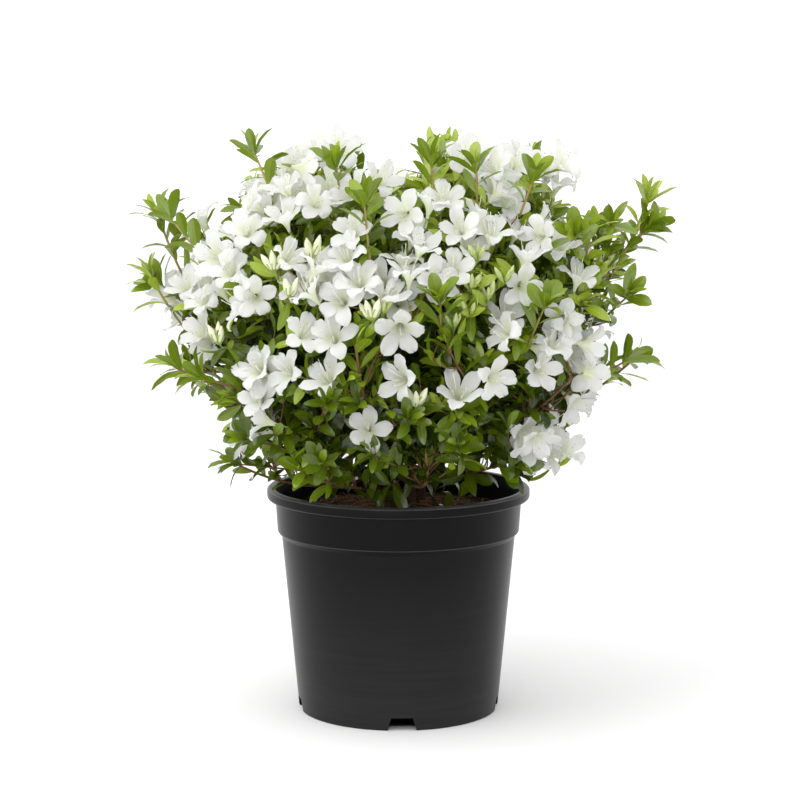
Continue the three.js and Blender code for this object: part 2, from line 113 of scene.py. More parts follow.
camera = bpy.data.cameras.new("camera")
camera.sensor_width = SENSOR_WIDTH
camera.lens = SENSOR_WIDTH * FOCAL_PIXELS / FRAME_PIXELS
scene.camera = placed("camera", camera)
scene.camera.location = Vector(CAMERA_PLACE) * MM
scene.camera.rotation_euler = (math.pi / 2 - CAMERA_DIP, 0, 0)
print("lens, in mm:", round(camera.lens, 1))

# %% [markdown]
# ## Shader sums
#
# A material is easier to read as arithmetic than as a net of links. A `Wire` is one output of a
# node, and adding or multiplying wires adds the Math nodes. Every other node comes from the `node`
# method: first the kind, then its settings, then its sockets. A `Paint` is one material.


# %% Shader sums
class Wire:
    """One output of a node, which can stand in a sum like a number."""

    def __init__(self, net, socket):
        self.net, self.socket = net, socket

    def __add__(self, other):
        return self.net.math("ADD", self, other)

    def __sub__(self, other):
        return self.net.math("SUBTRACT", self, other)

    def __rsub__(self, other):
        return self.net.math("SUBTRACT", other, self)

    def __mul__(self, other):
        return self.net.math("MULTIPLY", self, other)

    __radd__ = __add__
    __rmul__ = __mul__


class Net:
    """A tree of nodes."""

    def __init__(self, tree):
        self.tree = tree

    def node(self, kind, settings, values, output=0):
        made = self.tree.nodes.new("ShaderNode" + kind)
        for name, value in settings.items():
            setattr(made, name, value)
        for name, value in values.items():
            self.feed(made.inputs[name], value)
        return Wire(self, made.outputs[output])

    def feed(self, socket, value):
        if isinstance(value, Wire):
            self.tree.links.new(value.socket, socket)
        else:
            socket.default_value = value

    def math(self, operation, first, second):
        return self.node("Math", {"operation": operation}, {0: first, 1: second})

    def height(self, space):
        """The upward part of a place or a direction."""
        return self.node("SeparateXYZ", {}, {0: self.node("TexCoord", {}, {}, space)}, "Z")


# %% Paints
class Paint(Net):
    """One material."""

    def __init__(self, name, roughness=0.5, specular=0.3):
        self.material = bpy.data.materials.new(name)
        self.material.use_nodes = True
        super().__init__(self.material.node_tree)
        self.shader = self.tree.nodes["Principled BSDF"]
        self.set("Roughness", roughness)
        self.set("Specular IOR Level", specular)
        print("paint:", name)

    def set(self, name, value):
        self.feed(self.shader.inputs[name], value)

    def speckle(self, scale, detail=3.0, stretch=(1, 1, 1)):
        """Soft noise from 0 to 1, fixed to the object and `scale` lumps to the metre."""
        place = self.node("TexCoord", {}, {}, "Object")
        where = self.node("VectorMath", {"operation": "MULTIPLY"}, {0: place, 1: stretch})
        return self.node("TexNoise", {}, {"Vector": where, "Scale": scale, "Detail": detail})

    def colour(self, share, first, second):
        """Mixes the base colour from two colours, which are inputs 6 and 7 of the Mix node."""
        mixed = {0: share, 6: (*first, 1), 7: (*second, 1)}
        self.set("Base Color", self.node("Mix", {"data_type": "RGBA"}, mixed, 2))

    def bump(self, height, strength, distance):
        values = {"Height": height, "Strength": strength, "Distance": distance * MM}
        self.set("Normal", self.node("Bump", {}, values))

    def let_light_through(self, share, colour):
        """Mixes in light that comes through from behind, as in a leaf or a petal."""
        glow = self.node("BsdfTranslucent", {}, {"Color": (*colour, 1)})
        surface = Wire(self, self.shader.outputs[0])
        mixed = self.node("MixShader", {}, {0: share, 1: surface, 2: glow})
        self.tree.links.new(mixed.socket, self.tree.nodes["Material Output"].inputs["Surface"])


def speckled(name, gloss, lumps, dark, light, grain, details=(3, 3), through=None):
    """A paint that wanders between two colours in soft lumps and has a fine grain.

    The gloss is a roughness and a specular level. The grain is the bump's scale, strength and
    depth in millimetres. What comes through is a share of light and its colour.
    """
    paint = Paint(name, *gloss)
    paint.colour(paint.speckle(lumps, details[0]), dark, light)
    scale, strength, depth = grain
    paint.bump(paint.speckle(scale, details[1]), strength, depth)
    if through:
        paint.let_light_through(*through)
    return paint


# %% [markdown]
# ## Light and floor
#
# The plant stands on white paper in a white room, a little brighter overhead. That gives the soft
# light that wraps round the leaves and draws pale edges on the black plastic. A large lamp at the
# upper left models the flowers and lays a faint shadow on the floor at the right. Two weaker ones,
# at the left and in front, open up the shade.

# %% Light and floor
ROOM_LIGHT = 1.29
CEILING_EXTRA = 0.16
LAMP_TARGET = Vector((0, 0, 0.3))
FLOOR_HALF = 8.0
PAPER_GREYS = (0.765, 0.785)

scene.view_settings.view_transform = "Standard"
scene.world = bpy.data.worlds.new("white_room")
scene.world.use_nodes = True
room = Net(scene.world.node_tree)
background = room.tree.nodes["Background"].inputs
background["Color"].default_value = (1, 1, 1, 1)
room.feed(background["Strength"], CEILING_EXTRA * room.height("Generated") + ROOM_LIGHT)


def lamp(name, place, size, watts):
    """A square soft lamp that looks at the middle of the plant."""
    data = bpy.data.lights.new(name, "AREA")
    data.size, data.energy = size, watts
    lit = placed(name, data)
    lit.location = place
    lit.rotation_euler = (LAMP_TARGET - Vector(place)).to_track_quat("-Z", "Y").to_euler()
    print(f"{name}: {watts} watts")


lamp("key_lamp", (-1.0, -0.9, 2.3), 1.5, 23)
lamp("left_panel", (-2.2, -1.1, 0.6), 1.6, 7)
lamp("front_fill", (-0.4, -2.6, 1.0), 1.6, 15)

floor_mesh = bpy.data.meshes.new("paper_floor")
signs = ((-1, -1), (1, -1), (1, 1), (-1, 1))
floor_mesh.from_pydata([(x * FLOOR_HALF, y * FLOOR_HALF, 0) for x, y in signs], [], [(0, 1, 2, 3)])
paper = Paint("pale_paper", roughness=0.9, specular=0.1)
paper.colour(paper.speckle(3.0), *[(grey, grey, grey) for grey in PAPER_GREYS])
floor_mesh.materials.append(paper.material)
floor = placed("paper_floor", floor_mesh)

# %% [markdown]
# ## Meshes from lists
#
# Leaves, petals and twigs are many copies of a few small shapes. A `Shape` holds the points, the
# faces and the finish of each face, in millimetres. A `Heap` gathers turned and scaled copies and
# makes one mesh of them all, which is far lighter than thousands of separate objects.


# %% Meshes from lists
class Shape:
    def __init__(self, points, faces, finishes=None):
        self.points = np.array(points, float)
        self.faces = faces
        self.finishes = finishes or [0] * len(faces)


class Heap:
    """Small shapes gathered into one mesh."""

    def __init__(self):
        self.points, self.faces, self.finishes = [], [], []
        self.count = 0

    def add(self, shape, place=(0, 0, 0), frame=None, size=1.0, finish=0):
        """Lays down a copy. The rows of frame are the copy's own x, y and z directions."""
        points = shape.points * size
        if frame is not None:
            points = points @ frame
        self.points.append(points + np.asarray(place))
        first = self.count
        self.faces += [tuple(first + corner for corner in face) for face in shape.faces]
        self.finishes += [finish + own for own in shape.finishes]
        self.count += len(points)

    def mesh(self, name):
        made = bpy.data.meshes.new(name)
        made.from_pydata(np.concatenate(self.points) * MM, [], self.faces)
        return made

    def piece(self, name, paints, slot, sharp=180, rough=False):
        """The finished object, riding on the plant's one body."""
        mesh = self.mesh(name)
        for paint in paints:
            mesh.materials.append(paint.material)
        mesh.polygons.foreach_set("material_index", self.finishes)
        mesh.polygons.foreach_set("use_smooth", [not rough] * len(self.faces))
        if sharp < 180:
            mesh.set_sharp_from_angle(angle=math.radians(sharp))
        mesh.validate()
        made = placed(name, mesh)
        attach(made, "root")
        print(f"{name}: {sum(len(face) - 2 for face in self.faces)} triangles")
        return made


def band(low, high, sides):
    """The faces between two rings of points, which start at `low` and at `high`."""
    following = [(j + 1) % sides for j in range(sides)]
    return [(low + j, low + n, high + n, high + j) for j, n in enumerate(following)]


# %% [markdown]
# ## The pot's plastic
#
# Nursery pots are moulded from recycled black polypropylene. It is nearly black, satin rather
# than glossy, and shows a fine orange-peel grain. The pale bands along both sides of the real pot
# are only the white room seen at a flat angle, so they come from the shader's own gloss. The lip,
# the rim's lower edge and the step under the collar are painted a little paler as painted
# highlights, and the collar under the rim is painted darker as painted shade.


# %% The pot's plastic
def satin(name, specular, above, below):
    """Satin black plastic with a film of dust that thickens, in faint scuffs, towards the foot."""
    paint = Paint(name, specular=specular)
    broad = paint.speckle(14.0)
    scuffs = paint.speckle(9.0, 6.0, stretch=(1, 1, 26))
    low = 1.1 - 7.0 * paint.height("Object")
    paint.colour(low * (0.45 + 0.9 * scuffs), above, below)
    paint.set("Roughness", 0.27 + 0.10 * broad)
    paint.bump(paint.speckle(900.0), 0.12, 0.3)
    return paint


BODY, INSIDE_AND_NOTCH_SHADE, COLLAR_SHADE, EDGE_HIGHLIGHT, LIP_HIGHLIGHT = range(5)
# Gloss and grain of the two paler paints that paint highlights on the pot's edges and lip.
EDGE_HIGHLIGHT_SETTINGS = {"gloss": (0.42, 0.45), "lumps": 60, "grain": (700, 0.2, 0.2)}
# Dull inner plastic, also laid on the notches' cut faces as painted shade.
dull_plastic = Paint("black_inner_plastic_and_notch_shade", specular=0.06)
dust = dull_plastic.speckle(30.0)
dull_plastic.colour(dust, (0.0025, 0.0025, 0.0027), (0.005, 0.0045, 0.004))
dull_plastic.set("Roughness", 0.6 + 0.15 * dust)
pot_paints = [
    satin("black_satin_plastic", 0.125, (0.0028, 0.0028, 0.0031), (0.017, 0.017, 0.018)),
    dull_plastic,
    # The collar wears a darker copy of the plastic: painted shade under the rim.
    satin("black_plastic_painted_collar_shade", 0.10, (0.0022, 0.0022, 0.0025), (0.009, 0.009, 0.0095)),
    # Paler paints on the rim's lower edge, the collar step and the lip: painted highlights.
    speckled(
        "plastic_edges_painted_highlight", dark=(0.006, 0.006, 0.007), light=(0.018, 0.018, 0.019), **EDGE_HIGHLIGHT_SETTINGS
    ),
    speckled("plastic_lip_painted_highlight", dark=(0.018, 0.018, 0.020), light=(0.046, 0.046, 0.048), **EDGE_HIGHLIGHT_SETTINGS),
]

# %% [markdown]
# ## The pot
#
# The pot is one outline turned about its axis. In the solid model it has few sides, so a finer
# one takes its place: the same outline with its corners softened by small curves, and 192 steps
# round. The four drainage notches are cut through the foot of the wall with a Boolean modifier.
# The two at the sides are turned a little forward, where the photograph shows their dark edges.

# %% The pot's outline
POT_HEIGHT = 214
RIM_RADIUS = 125
RIM_FOOT = 204
RIM_ROUNDING = 1.8
LIP_RADIUS = 117.7
COLLAR_TOP_RADIUS = 117.2
COLLAR_FOOT = (115.1, 172.5)
BODY_TOP = (111.2, 168)
BODY_FOOT = (95.5, 1.3)
FOOT_RADIUS = 94.6
BASE_RADIUS = 92.4
WALL = 2.4
FLOOR_THICKNESS = 3
FOOT_RING = 7
HOLLOW_UNDER = 1.5
CORNER_REACH = 0.9
STEPS_ROUND = 192
SHARP_EDGE = 40

OUTLINE = [
    (0, HOLLOW_UNDER),
    (BASE_RADIUS - FOOT_RING, HOLLOW_UNDER),
    (BASE_RADIUS - FOOT_RING + HOLLOW_UNDER, 0),
    (FOOT_RADIUS, 0),
    BODY_FOOT,
    BODY_TOP,
    COLLAR_FOOT,
    (COLLAR_TOP_RADIUS, RIM_FOOT),
    (RIM_RADIUS - RIM_ROUNDING / 2, RIM_FOOT),
    (RIM_RADIUS, RIM_FOOT + RIM_ROUNDING),
    (RIM_RADIUS, POT_HEIGHT - RIM_ROUNDING),
    (RIM_RADIUS - RIM_ROUNDING, POT_HEIGHT),
    (LIP_RADIUS, POT_HEIGHT),
    (COLLAR_TOP_RADIUS - WALL, RIM_FOOT),
    (COLLAR_FOOT[0] - WALL, COLLAR_FOOT[1]),
    (BODY_TOP[0] - WALL, BODY_TOP[1]),
    (BASE_RADIUS, FLOOR_THICKNESS),
    (0, FLOOR_THICKNESS),
]
print(len(OUTLINE), "corners in the pot's outline")


# %% Turning an outline
def softened(outline, reach, steps=4):
    """The outline with each corner replaced by a short curve that starts `reach` before it."""
    soft = [np.array(outline[0], float)]
    for corners in zip(outline, outline[1:], outline[2:]):
        before, corner, after = (np.array(p, float) for p in corners)
        start, end = (
            corner + unit(other - corner) * min(reach, np.linalg.norm(other - corner) / 2.1)
            for other in (before, after)
        )
        for t in np.arange(steps + 1) / steps:
            soft.append((1 - t) ** 2 * start + 2 * t * (1 - t) * corner + t * t * end)
    return soft + [np.array(outline[-1], float)]


def turned(outline, steps):
    """A closed shape of revolution whose outline starts and ends on the axis."""
    rings = outline[1:-1]
    points = [(0, 0, outline[0][1])]
    for radius, height in rings:
        for k in range(steps):
            points.append(polar(2 * math.pi * k / steps, radius, height))
    points.append((0, 0, outline[-1][1]))
    top = len(points) - 1 - steps
    faces = []
    for k in range(steps):
        n = (k + 1) % steps
        faces.append((0, 1 + n, 1 + k))
        for low in range(1, top, steps):
            faces.append((low + k, low + n, low + steps + n, low + steps + k))
        faces.append((top + k, top + n, len(points) - 1))
    return Shape(points, faces)


# %% The pot and its finishes
def pot_finish(face, points):
    """Which of the pot's five paints a face wears, by where its middle is."""
    x, y, height = points[list(face)].mean(axis=0)
    out = math.hypot(x, y)
    heights = (0, BODY_TOP[1], COLLAR_FOOT[1], POT_HEIGHT)
    wall = np.interp(height, heights, (BODY_FOOT[0], BODY_TOP[0], COLLAR_FOOT[0], LIP_RADIUS + 1))
    if height > FLOOR_THICKNESS - 0.5 and out < wall - WALL / 2:
        return INSIDE_AND_NOTCH_SHADE
    # The lip is painted paler: a painted highlight.
    if height > POT_HEIGHT - RIM_ROUNDING:
        return LIP_HIGHLIGHT
    # The rim's lower edge and the step under the collar are painted paler: painted highlights.
    under_rim = out > RIM_RADIUS - RIM_ROUNDING and height < RIM_FOOT + 0.8
    if under_rim or abs(height - COLLAR_FOOT[1]) < 0.5:
        return EDGE_HIGHLIGHT
    # The collar is painted darker than the body: painted shade under the rim.
    return COLLAR_SHADE if height > BODY_TOP[1] else BODY


pot_shape = turned(softened(OUTLINE, CORNER_REACH), STEPS_ROUND)
pot_shape.finishes = [pot_finish(face, pot_shape.points) for face in pot_shape.faces]
pot_heap = Heap()
pot_heap.add(pot_shape)
pot = pot_heap.piece("nursery_pot", pot_paints, "pot_plastic", sharp=SHARP_EDGE)
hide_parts("pot")

# %% Drainage notches
NOTCH_FOOT_WIDTH = 28
NOTCH_TOP_WIDTH = 20
NOTCH_HEIGHT = 12.4
NOTCH_DEPTH = 14
NOTCH_BEARINGS = (-88, -8, 90, 190)


def notch_cutter(bearing):
    """A wedge-sided block that points outward through the foot of the wall."""
    low, high = NOTCH_FOOT_WIDTH / 2, NOTCH_TOP_WIDTH / 2
    section = [(-low, -1), (low, -1), (high, NOTCH_HEIGHT), (-high, NOTCH_HEIGHT)]
    c, s = math.cos(math.radians(bearing)), math.sin(math.radians(bearing))
    points = []
    for x in (BODY_FOOT[0] - NOTCH_DEPTH, BODY_FOOT[0] + NOTCH_DEPTH):
        points += [(x * c - y * s, x * s + y * c, z) for y, z in section]
    return Shape(points, [(3, 2, 1, 0), (4, 5, 6, 7)] + band(0, 4, 4))


cutters = Heap()
for bearing in NOTCH_BEARINGS:
    cutters.add(notch_cutter(bearing))
cutter = placed("cutter", cutters.mesh("cutter"))
modifier = pot.modifiers.new("cut", "BOOLEAN")
modifier.operation = "DIFFERENCE"
modifier.solver = "EXACT"
modifier.object = cutter
bpy.context.view_layer.update()
evaluated = pot.evaluated_get(bpy.context.evaluated_depsgraph_get())
cut = bpy.data.meshes.new_from_object(evaluated)
pot.modifiers.clear()
pot.data = cut
bpy.data.objects.remove(cutter)
pot.data.set_sharp_from_angle(angle=math.radians(SHARP_EDGE))
# The faces cut by the notches take the dull inner paint, darker than the wall's foot outside:
# painted shade.
for face in pot.data.polygons:
    out, up = math.hypot(face.center.x, face.center.y) / MM, face.center.z / MM
    if 0.2 < up < NOTCH_HEIGHT + 0.1 and BASE_RADIUS - NOTCH_DEPTH < out < FOOT_RADIUS:
        face.material_index = INSIDE_AND_NOTCH_SHADE
print("pot after the notches:", len(pot.data.polygons), "faces")

# %% [markdown]
# ## Potting mix
#
# The mix is peat, composted bark and coir. Its top is lumpy and almost black where it is damp.
# A disc of rings pushed up and down by noise gives the lumps, and a few hundred chips, fibres and
# pale grains are scattered over it as real shapes, since bump alone looks painted from the side.

# %% Potting mix colours
damp = speckled(
    "damp_peat", (0.9, 0.2), 220, (0.014, 0.008, 0.005), (0.13, 0.072, 0.038), (700, 0.9, 1.5),
    (6, 5),
)
# The mix deep in the pot, seen only through the notches, is painted nearly black: painted shade.
deep_mix_shade = speckled(
    "peat_painted_shade", (0.8, 0.05), 220, (0.001, 0.001, 0.001), (0.004, 0.003, 0.002), (700, 0.5, 1.0)
)
chip_paint = speckled(
    "bark_chips", (0.85, 0.2), 160, (0.03, 0.016, 0.008), (0.22, 0.115, 0.055), (900, 0.5, 0.5)
)
fibre_paint = speckled(
    "coir_fibres", (0.8, 0.2), 60, (0.07, 0.032, 0.012), (0.46, 0.27, 0.12), (1500, 0.3, 0.2)
)
grain_paint = speckled(
    "pale_grains", (0.8, 0.3), 300, (0.45, 0.40, 0.32), (0.72, 0.68, 0.60), (1200, 0.6, 0.4)
)

# %% The mix
SOIL_TOP = 189
MIX_RADIUS = 113.4
MIX_GAP = 0.3
MIX_RINGS = 56
MIX_STEPS = 160
LUMP_HEIGHT = 3.0
MOUND_HEIGHT = 6.0
MOUND_REACH = 34
SHADE_BELOW = 60


def mix_height(x, y):
    """The height of the mix: lumps, and a low mound round the stems."""
    out = math.hypot(x, y)
    lump = noise.fractal(Vector((x, y, 0)) * 0.055, 0.8, 2.2, 4) * LUMP_HEIGHT
    mound = MOUND_HEIGHT * math.exp(-((out / MOUND_REACH) ** 2))
    return SOIL_TOP + lump * min(1, (MIX_RADIUS - out) / 6) + mound


mix_outline = [(0, 3.3), (BASE_RADIUS - 16, 3.3), (BASE_RADIUS - 12, 20), (BASE_RADIUS, 26)]
mix_outline += [(BODY_TOP[0] - WALL - MIX_GAP, BODY_TOP[1])]
mix_outline += [(COLLAR_FOOT[0] - WALL - MIX_GAP, COLLAR_FOOT[1] + MIX_GAP)]
mix_outline += [(MIX_RADIUS * (1 - k / MIX_RINGS), SOIL_TOP) for k in range(MIX_RINGS)]
bed = turned(mix_outline + [(0, SOIL_TOP)], MIX_STEPS)
for point in bed.points:
    if point[2] > SOIL_TOP - 1:
        point[2] = mix_height(point[0], point[1])
# Faces low in the pot take the nearly black paint: painted shade.
bed.finishes = [int(bed.points[list(face)][:, 2].max() < SHADE_BELOW) for face in bed.faces]
mix_heap = Heap()
mix_heap.add(bed)
mix = mix_heap.piece("potting_mix_bed", [damp, deep_mix_shade], "potting_mix")
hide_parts("potting_mix")

# %% Chips and grains
scatter = random.Random(11)
CHIPS = 520
GRAINS = 46
ANY_TURN = 6.28


def spot_on_mix(reach=0.97):
    out = MIX_RADIUS * reach * math.sqrt(scatter.random())
    place = polar(scatter.uniform(0, 2 * math.pi), out)
    place[2] = mix_height(place[0], place[1])
    return place


def random_frame(tilt):
    """Three directions at right angles: the last one leans at random from straight up."""
    up = unit(np.array((scatter.gauss(0, tilt), scatter.gauss(0, tilt), 1)))
    along = unit(np.cross(up, polar(scatter.uniform(0, ANY_TURN), 1)))
    return np.array((along, np.cross(up, along), up))


def pebble(roughness):
    """An octahedron-based lump with its corners pushed in and out."""
    points = [(1, 0, 0), (0, 1, 0), (-1, 0, 0), (0, -1, 0), (0, 0, 1), (0, 0, -1)]
    faces = [(0, 1, 4), (1, 2, 4), (2, 3, 4), (3, 0, 4), (1, 0, 5), (2, 1, 5), (3, 2, 5), (0, 3, 5)]
    mesh = bmesh.new()
    corners = [mesh.verts.new(p) for p in points]
    for face in faces:
        mesh.faces.new([corners[i] for i in face])
    bmesh.ops.subdivide_edges(mesh, edges=mesh.edges[:], cuts=1, use_grid_fill=True)
    mesh.verts.index_update()
    for vert in mesh.verts:
        vert.co = vert.co.normalized() * scatter.uniform(1 - roughness, 1 + roughness)
    faces = [tuple(vert.index for vert in face.verts) for face in mesh.faces]
    shape = Shape([vert.co[:] for vert in mesh.verts], faces)
    mesh.free()
    return shape


# %% Lay the chips and grains
pebbles = [pebble(0.28) for _ in range(8)]
chips, grains = Heap(), Heap()
for _ in range(CHIPS):
    chip = scatter.choice(pebbles)
    sizes = (scatter.uniform(1.5, 4.5), scatter.uniform(0.9, 1.8), 0.7)
    flake = Shape(chip.points * sizes, chip.faces)
    chips.add(flake, spot_on_mix() + (0, 0, 0.3), random_frame(0.3))
for _ in range(GRAINS):
    grain = scatter.choice(pebbles)
    grains.add(grain, spot_on_mix() + (0, 0, 0.5), random_frame(0.6), scatter.uniform(0.7, 1.7))
chips.piece("bark_chips", [chip_paint], "potting_mix", rough=True)
grains.piece("pale_grains", [grain_paint], "potting_mix", rough=True)

# %% [markdown]
# ## Limbs
#
# Everything woody is a tube along a smooth line. Its rings are kept from twisting by carrying one
# direction along the line, and each ring's radius can be pushed in and out for bark relief. The
# fibres of the mix are the first to use it.


# %% Tubes
def curve_through(controls, runs):
    """A Bezier curve's points, evenly spaced in its own measure."""
    controls = [np.asarray(c, float) for c in controls]
    line = []
    for i in range(runs + 1):
        t, row = i / runs, controls
        while len(row) > 1:
            row = [a * (1 - t) + b * t for a, b in zip(row, row[1:])]
        line.append(row[0])
    return np.array(line)


def tube(line, radii, sides, relief=None, finish=0):
    """A round limb along a line of points, closed by a point at each end."""
    directions = np.gradient(line, axis=0)
    directions /= np.linalg.norm(directions, axis=1)[:, None]
    side = np.cross((0, 0, 1), directions[0])
    side = unit(side) if np.linalg.norm(side) > 0.01 else np.array((1.0, 0, 0))
    points, faces = [], []
    for place, along, radius in zip(line, directions, radii):
        side = unit(side - along * (side @ along))
        over = np.cross(along, side)
        for j in range(sides):
            angle = 2 * math.pi * j / sides
            spoke = side * math.cos(angle) + over * math.sin(angle)
            swell = relief(place + spoke * radius, angle) if relief else 1
            points.append(place + spoke * (radius * swell))
    last = len(points) - sides
    for low in range(0, last, sides):
        faces += band(low, low + sides, sides)
    for j in range(sides):
        n = (j + 1) % sides
        faces += [(n, j, len(points)), (last + j, last + n, len(points) + 1)]
    foot = line[0] - directions[0] * radii[0] * 0.4
    points += [foot, line[-1] + directions[-1] * radii[-1] * 1.2]
    return Shape(points, faces, [finish] * len(faces))


# %% Fibres and fine roots
FIBRES = 260
FINE_ROOTS = 130


fibres = Heap()
for _ in range(FIBRES):
    start = spot_on_mix(0.95)
    ahead = polar(scatter.uniform(0, ANY_TURN), scatter.uniform(8, 34))
    swerve = np.array((-ahead[1], ahead[0], 0)) * scatter.uniform(-0.5, 0.5)
    rise = np.array((0, 0, scatter.uniform(1, 9)))
    line = curve_through([start, start + ahead * 0.5 + swerve + rise, start + ahead], 6)
    if np.hypot(*line[-1][:2]) < MIX_RADIUS - 4:
        line[-1][2] = mix_height(*line[-1][:2])
        fibres.add(tube(line, np.linspace(0.42, 0.2, 7), 4))
for _ in range(FINE_ROOTS):
    angle, out = scatter.uniform(0, ANY_TURN), scatter.uniform(10, 30)
    start = polar(angle, out, SOIL_TOP + scatter.uniform(4, 12))
    angle, out = angle + scatter.uniform(-0.7, 0.7), out + scatter.uniform(12, 30)
    end = polar(angle, out)
    end[2] = mix_height(end[0], end[1]) - 1
    bend = (start + end) / 2 + (scatter.uniform(-5, 5), scatter.uniform(-5, 5), 4)
    fibres.add(tube(curve_through([start, bend, end], 6), np.linspace(0.7, 0.3, 7), 4))
fibres.piece("coir_fibres_and_roots", [fibre_paint], "potting_mix")

# %% [markdown]
# ## The plan of the shrub
#
# The shrub follows the same plan as the solid model, from the same named sizes. Six stems rise
# from a small ring. Each leans towards the tip of its own mass of foliage and carries boughs to
# others. A mass has one leading shoot, which goes on from its limb and turns up to its tip.

# %% Sizes of the plan
STEM_RING_RADIUS = 21
HEART = np.array((0, 0, SOIL_TOP + 12.0))
STEM_RADIUS = 4.6
STEM_TIP_RADIUS = 2.3
FLARE_RADIUS = 8.5
FLARE_LENGTH = 18
FOOT_TRIM = 3
BOUGH_RADII = (2.0, 1.4)
STEM_LEAN = 0.35
LOWEST_FORK = 0.16
HIGHEST_FORK = 0.78
BOUGH_SAG = 0.1
MASS_START = 0.44
GAP = 0.3

# Each mass: the bearing of its leading shoot's tip, the tip's reach and height, and the share of
# its shoots that flower. The first six stand on the stems.
STEM_MASSES = {
    "top_left": (174, 128, 518, 0.5),
    "top_back_left": (118, 80, 520, 0.8),
    "top_back_right": (62, 100, 520, 0.8),
    "top_right": (12, 130, 512, 0.8),
    "top_front": (-55, 52, 514, 0.5),
    "front_leader": (-104, 118, 486, 0.6),
}
BOUGH_MASSES = {
    "right_high": (-3, 226, 468, 0.15),
    "front_right_high": (-32, 200, 448, 0.75),
    "front_high": (-66, 168, 442, 0.9),
    "front_left_high": (-136, 172, 452, 0.9),
    "left_high": (178, 220, 452, 0.15),
    "back_left_high": (134, 190, 458, 0.6),
    "back_right_high": (44, 192, 460, 0.6),
    "back_high": (90, 168, 452, 0.6),
    "right_low": (-5, 224, 340, 0.35),
    "front_right_middle": (-36, 205, 345, 0.7),
    "front_middle_right": (-68, 195, 342, 0.7),
    "front_middle": (-100, 198, 352, 0.7),
    "front_left_middle": (-134, 200, 338, 0.65),
    "left_middle": (-170, 222, 398, 0.55),
    "left_low": (170, 208, 318, 0.2),
    "back_left_middle": (127, 208, 345, 0.5),
    "back_right_middle": (72, 212, 342, 0.5),
    "right_back_middle": (28, 216, 372, 0.4),
    "right_base": (-20, 158, 266, 0.75),
    "front_base": (-80, 146, 258, 0.1),
    "front_left_base": (-122, 150, 246, 0.2),
    "left_base": (-164, 150, 238, 0),
}
print(len(STEM_MASSES) + len(BOUGH_MASSES), "masses of foliage")


# %% Plan the limbs
def point_at(bearing, reach, height):
    return polar(math.radians(bearing), reach, height)


def along_runs(runs, share):
    """The point at a share of the way along a line of points, and the direction there."""
    place = min(share * (len(runs) - 1), len(runs) - 1.001)
    i = int(place)
    return runs[i] + (runs[i + 1] - runs[i]) * (place - i), unit(runs[i + 1] - runs[i])


class Mass:
    """One leading shoot, the limb that carries it, and the space round it."""

    def __init__(self, name, bearing, reach, height, bloom):
        self.name, self.bearing, self.height, self.bloom = name, bearing, height, bloom
        self.tip = point_at(bearing, reach, height)
        self.start = HEART + (self.tip - HEART) * MASS_START

    def carried_by(self, controls, runs):
        """Curves the limb, and the leading shoot that goes on from its end."""
        self.limb_controls = controls
        self.limb = curve_through(controls, runs)
        onward = along_runs(self.limb, 1)[1]
        start = self.start + onward * GAP
        bend = start + onward * np.linalg.norm(self.tip - start) * 0.5
        self.leader_controls = [start, bend, self.tip]
        self.leader = curve_through(self.leader_controls, 4)


def stem_to(mass):
    foot = point_at(mass.bearing, STEM_RING_RADIUS, SOIL_TOP - FOOT_TRIM)
    rise = mass.start[2] - foot[2]
    first = foot + (0, 0, rise * STEM_LEAN)
    second = mass.start - unit(mass.tip - mass.start) * rise * STEM_LEAN
    mass.carried_by([foot, first, second, mass.start], 6)


def boughs_from(stem, family):
    """Boughs fork from their stem in the order of the heights that they reach."""
    family.sort(key=lambda mass: mass.height)
    for i, mass in enumerate(family):
        share = LOWEST_FORK + (HIGHEST_FORK - LOWEST_FORK) * (i + 0.5) / len(family)
        fork, _ = along_runs(stem.limb, share)
        span = mass.start - fork
        bend = fork + span / 2 - (0, 0, np.linalg.norm(span) * BOUGH_SAG)
        mass.carried_by([fork, bend, mass.start], 4)


# %% All stems and boughs
stem_masses = [Mass(name, *row) for name, row in STEM_MASSES.items()]
families = {stem: [] for stem in stem_masses}
for name, row in BOUGH_MASSES.items():
    mass = Mass(name, *row)
    turns = {stem: abs((stem.bearing - mass.bearing + 540) % 360 - 180) for stem in stem_masses}
    families[min(stem_masses, key=turns.get)].append(mass)
for stem, family in families.items():
    stem_to(stem)
    boughs_from(stem, family)
bough_masses = sum(families.values(), [])
masses = stem_masses + bough_masses
print(len(stem_masses), "stems and", len(bough_masses), "boughs planned")

# %% [markdown]
# ## Bark
#
# Old azalea stems are thin, smooth at a glance and finely ridged up close, red-brown where light
# falls on them. The ridges run along the stem, so the relief is noise that changes quickly round
# the limb and slowly along it. The young shoots are a plainer tube that turns from brown to green.

# %% Bark colours
bark = speckled(
    "azalea_bark", (0.75, 0.25), 120, (0.018, 0.009, 0.006), (0.11, 0.052, 0.028), (800, 0.6, 0.5),
    (6, 5),
)
brown_shoot = speckled(
    "brown_shoots", (0.6, 0.3), 150, (0.10, 0.045, 0.018), (0.20, 0.11, 0.045), (1200, 0.4, 0.3)
)
green_shoot = speckled(
    "green_shoots", (0.5, 0.35), 110, (0.25, 0.15, 0.04), (0.26, 0.24, 0.06), (1200, 0.3, 0.2)
)


# %% Stems and boughs
def bark_relief(place, angle):
    x, y = math.cos(angle) * 2.2, math.sin(angle) * 2.2
    ridge = noise.noise(Vector((x, y, place[2] * 0.05 + place[0] * 0.03)))
    knot = noise.noise(Vector(place) * 0.12)
    return 1 + 0.16 * ridge + 0.10 * knot


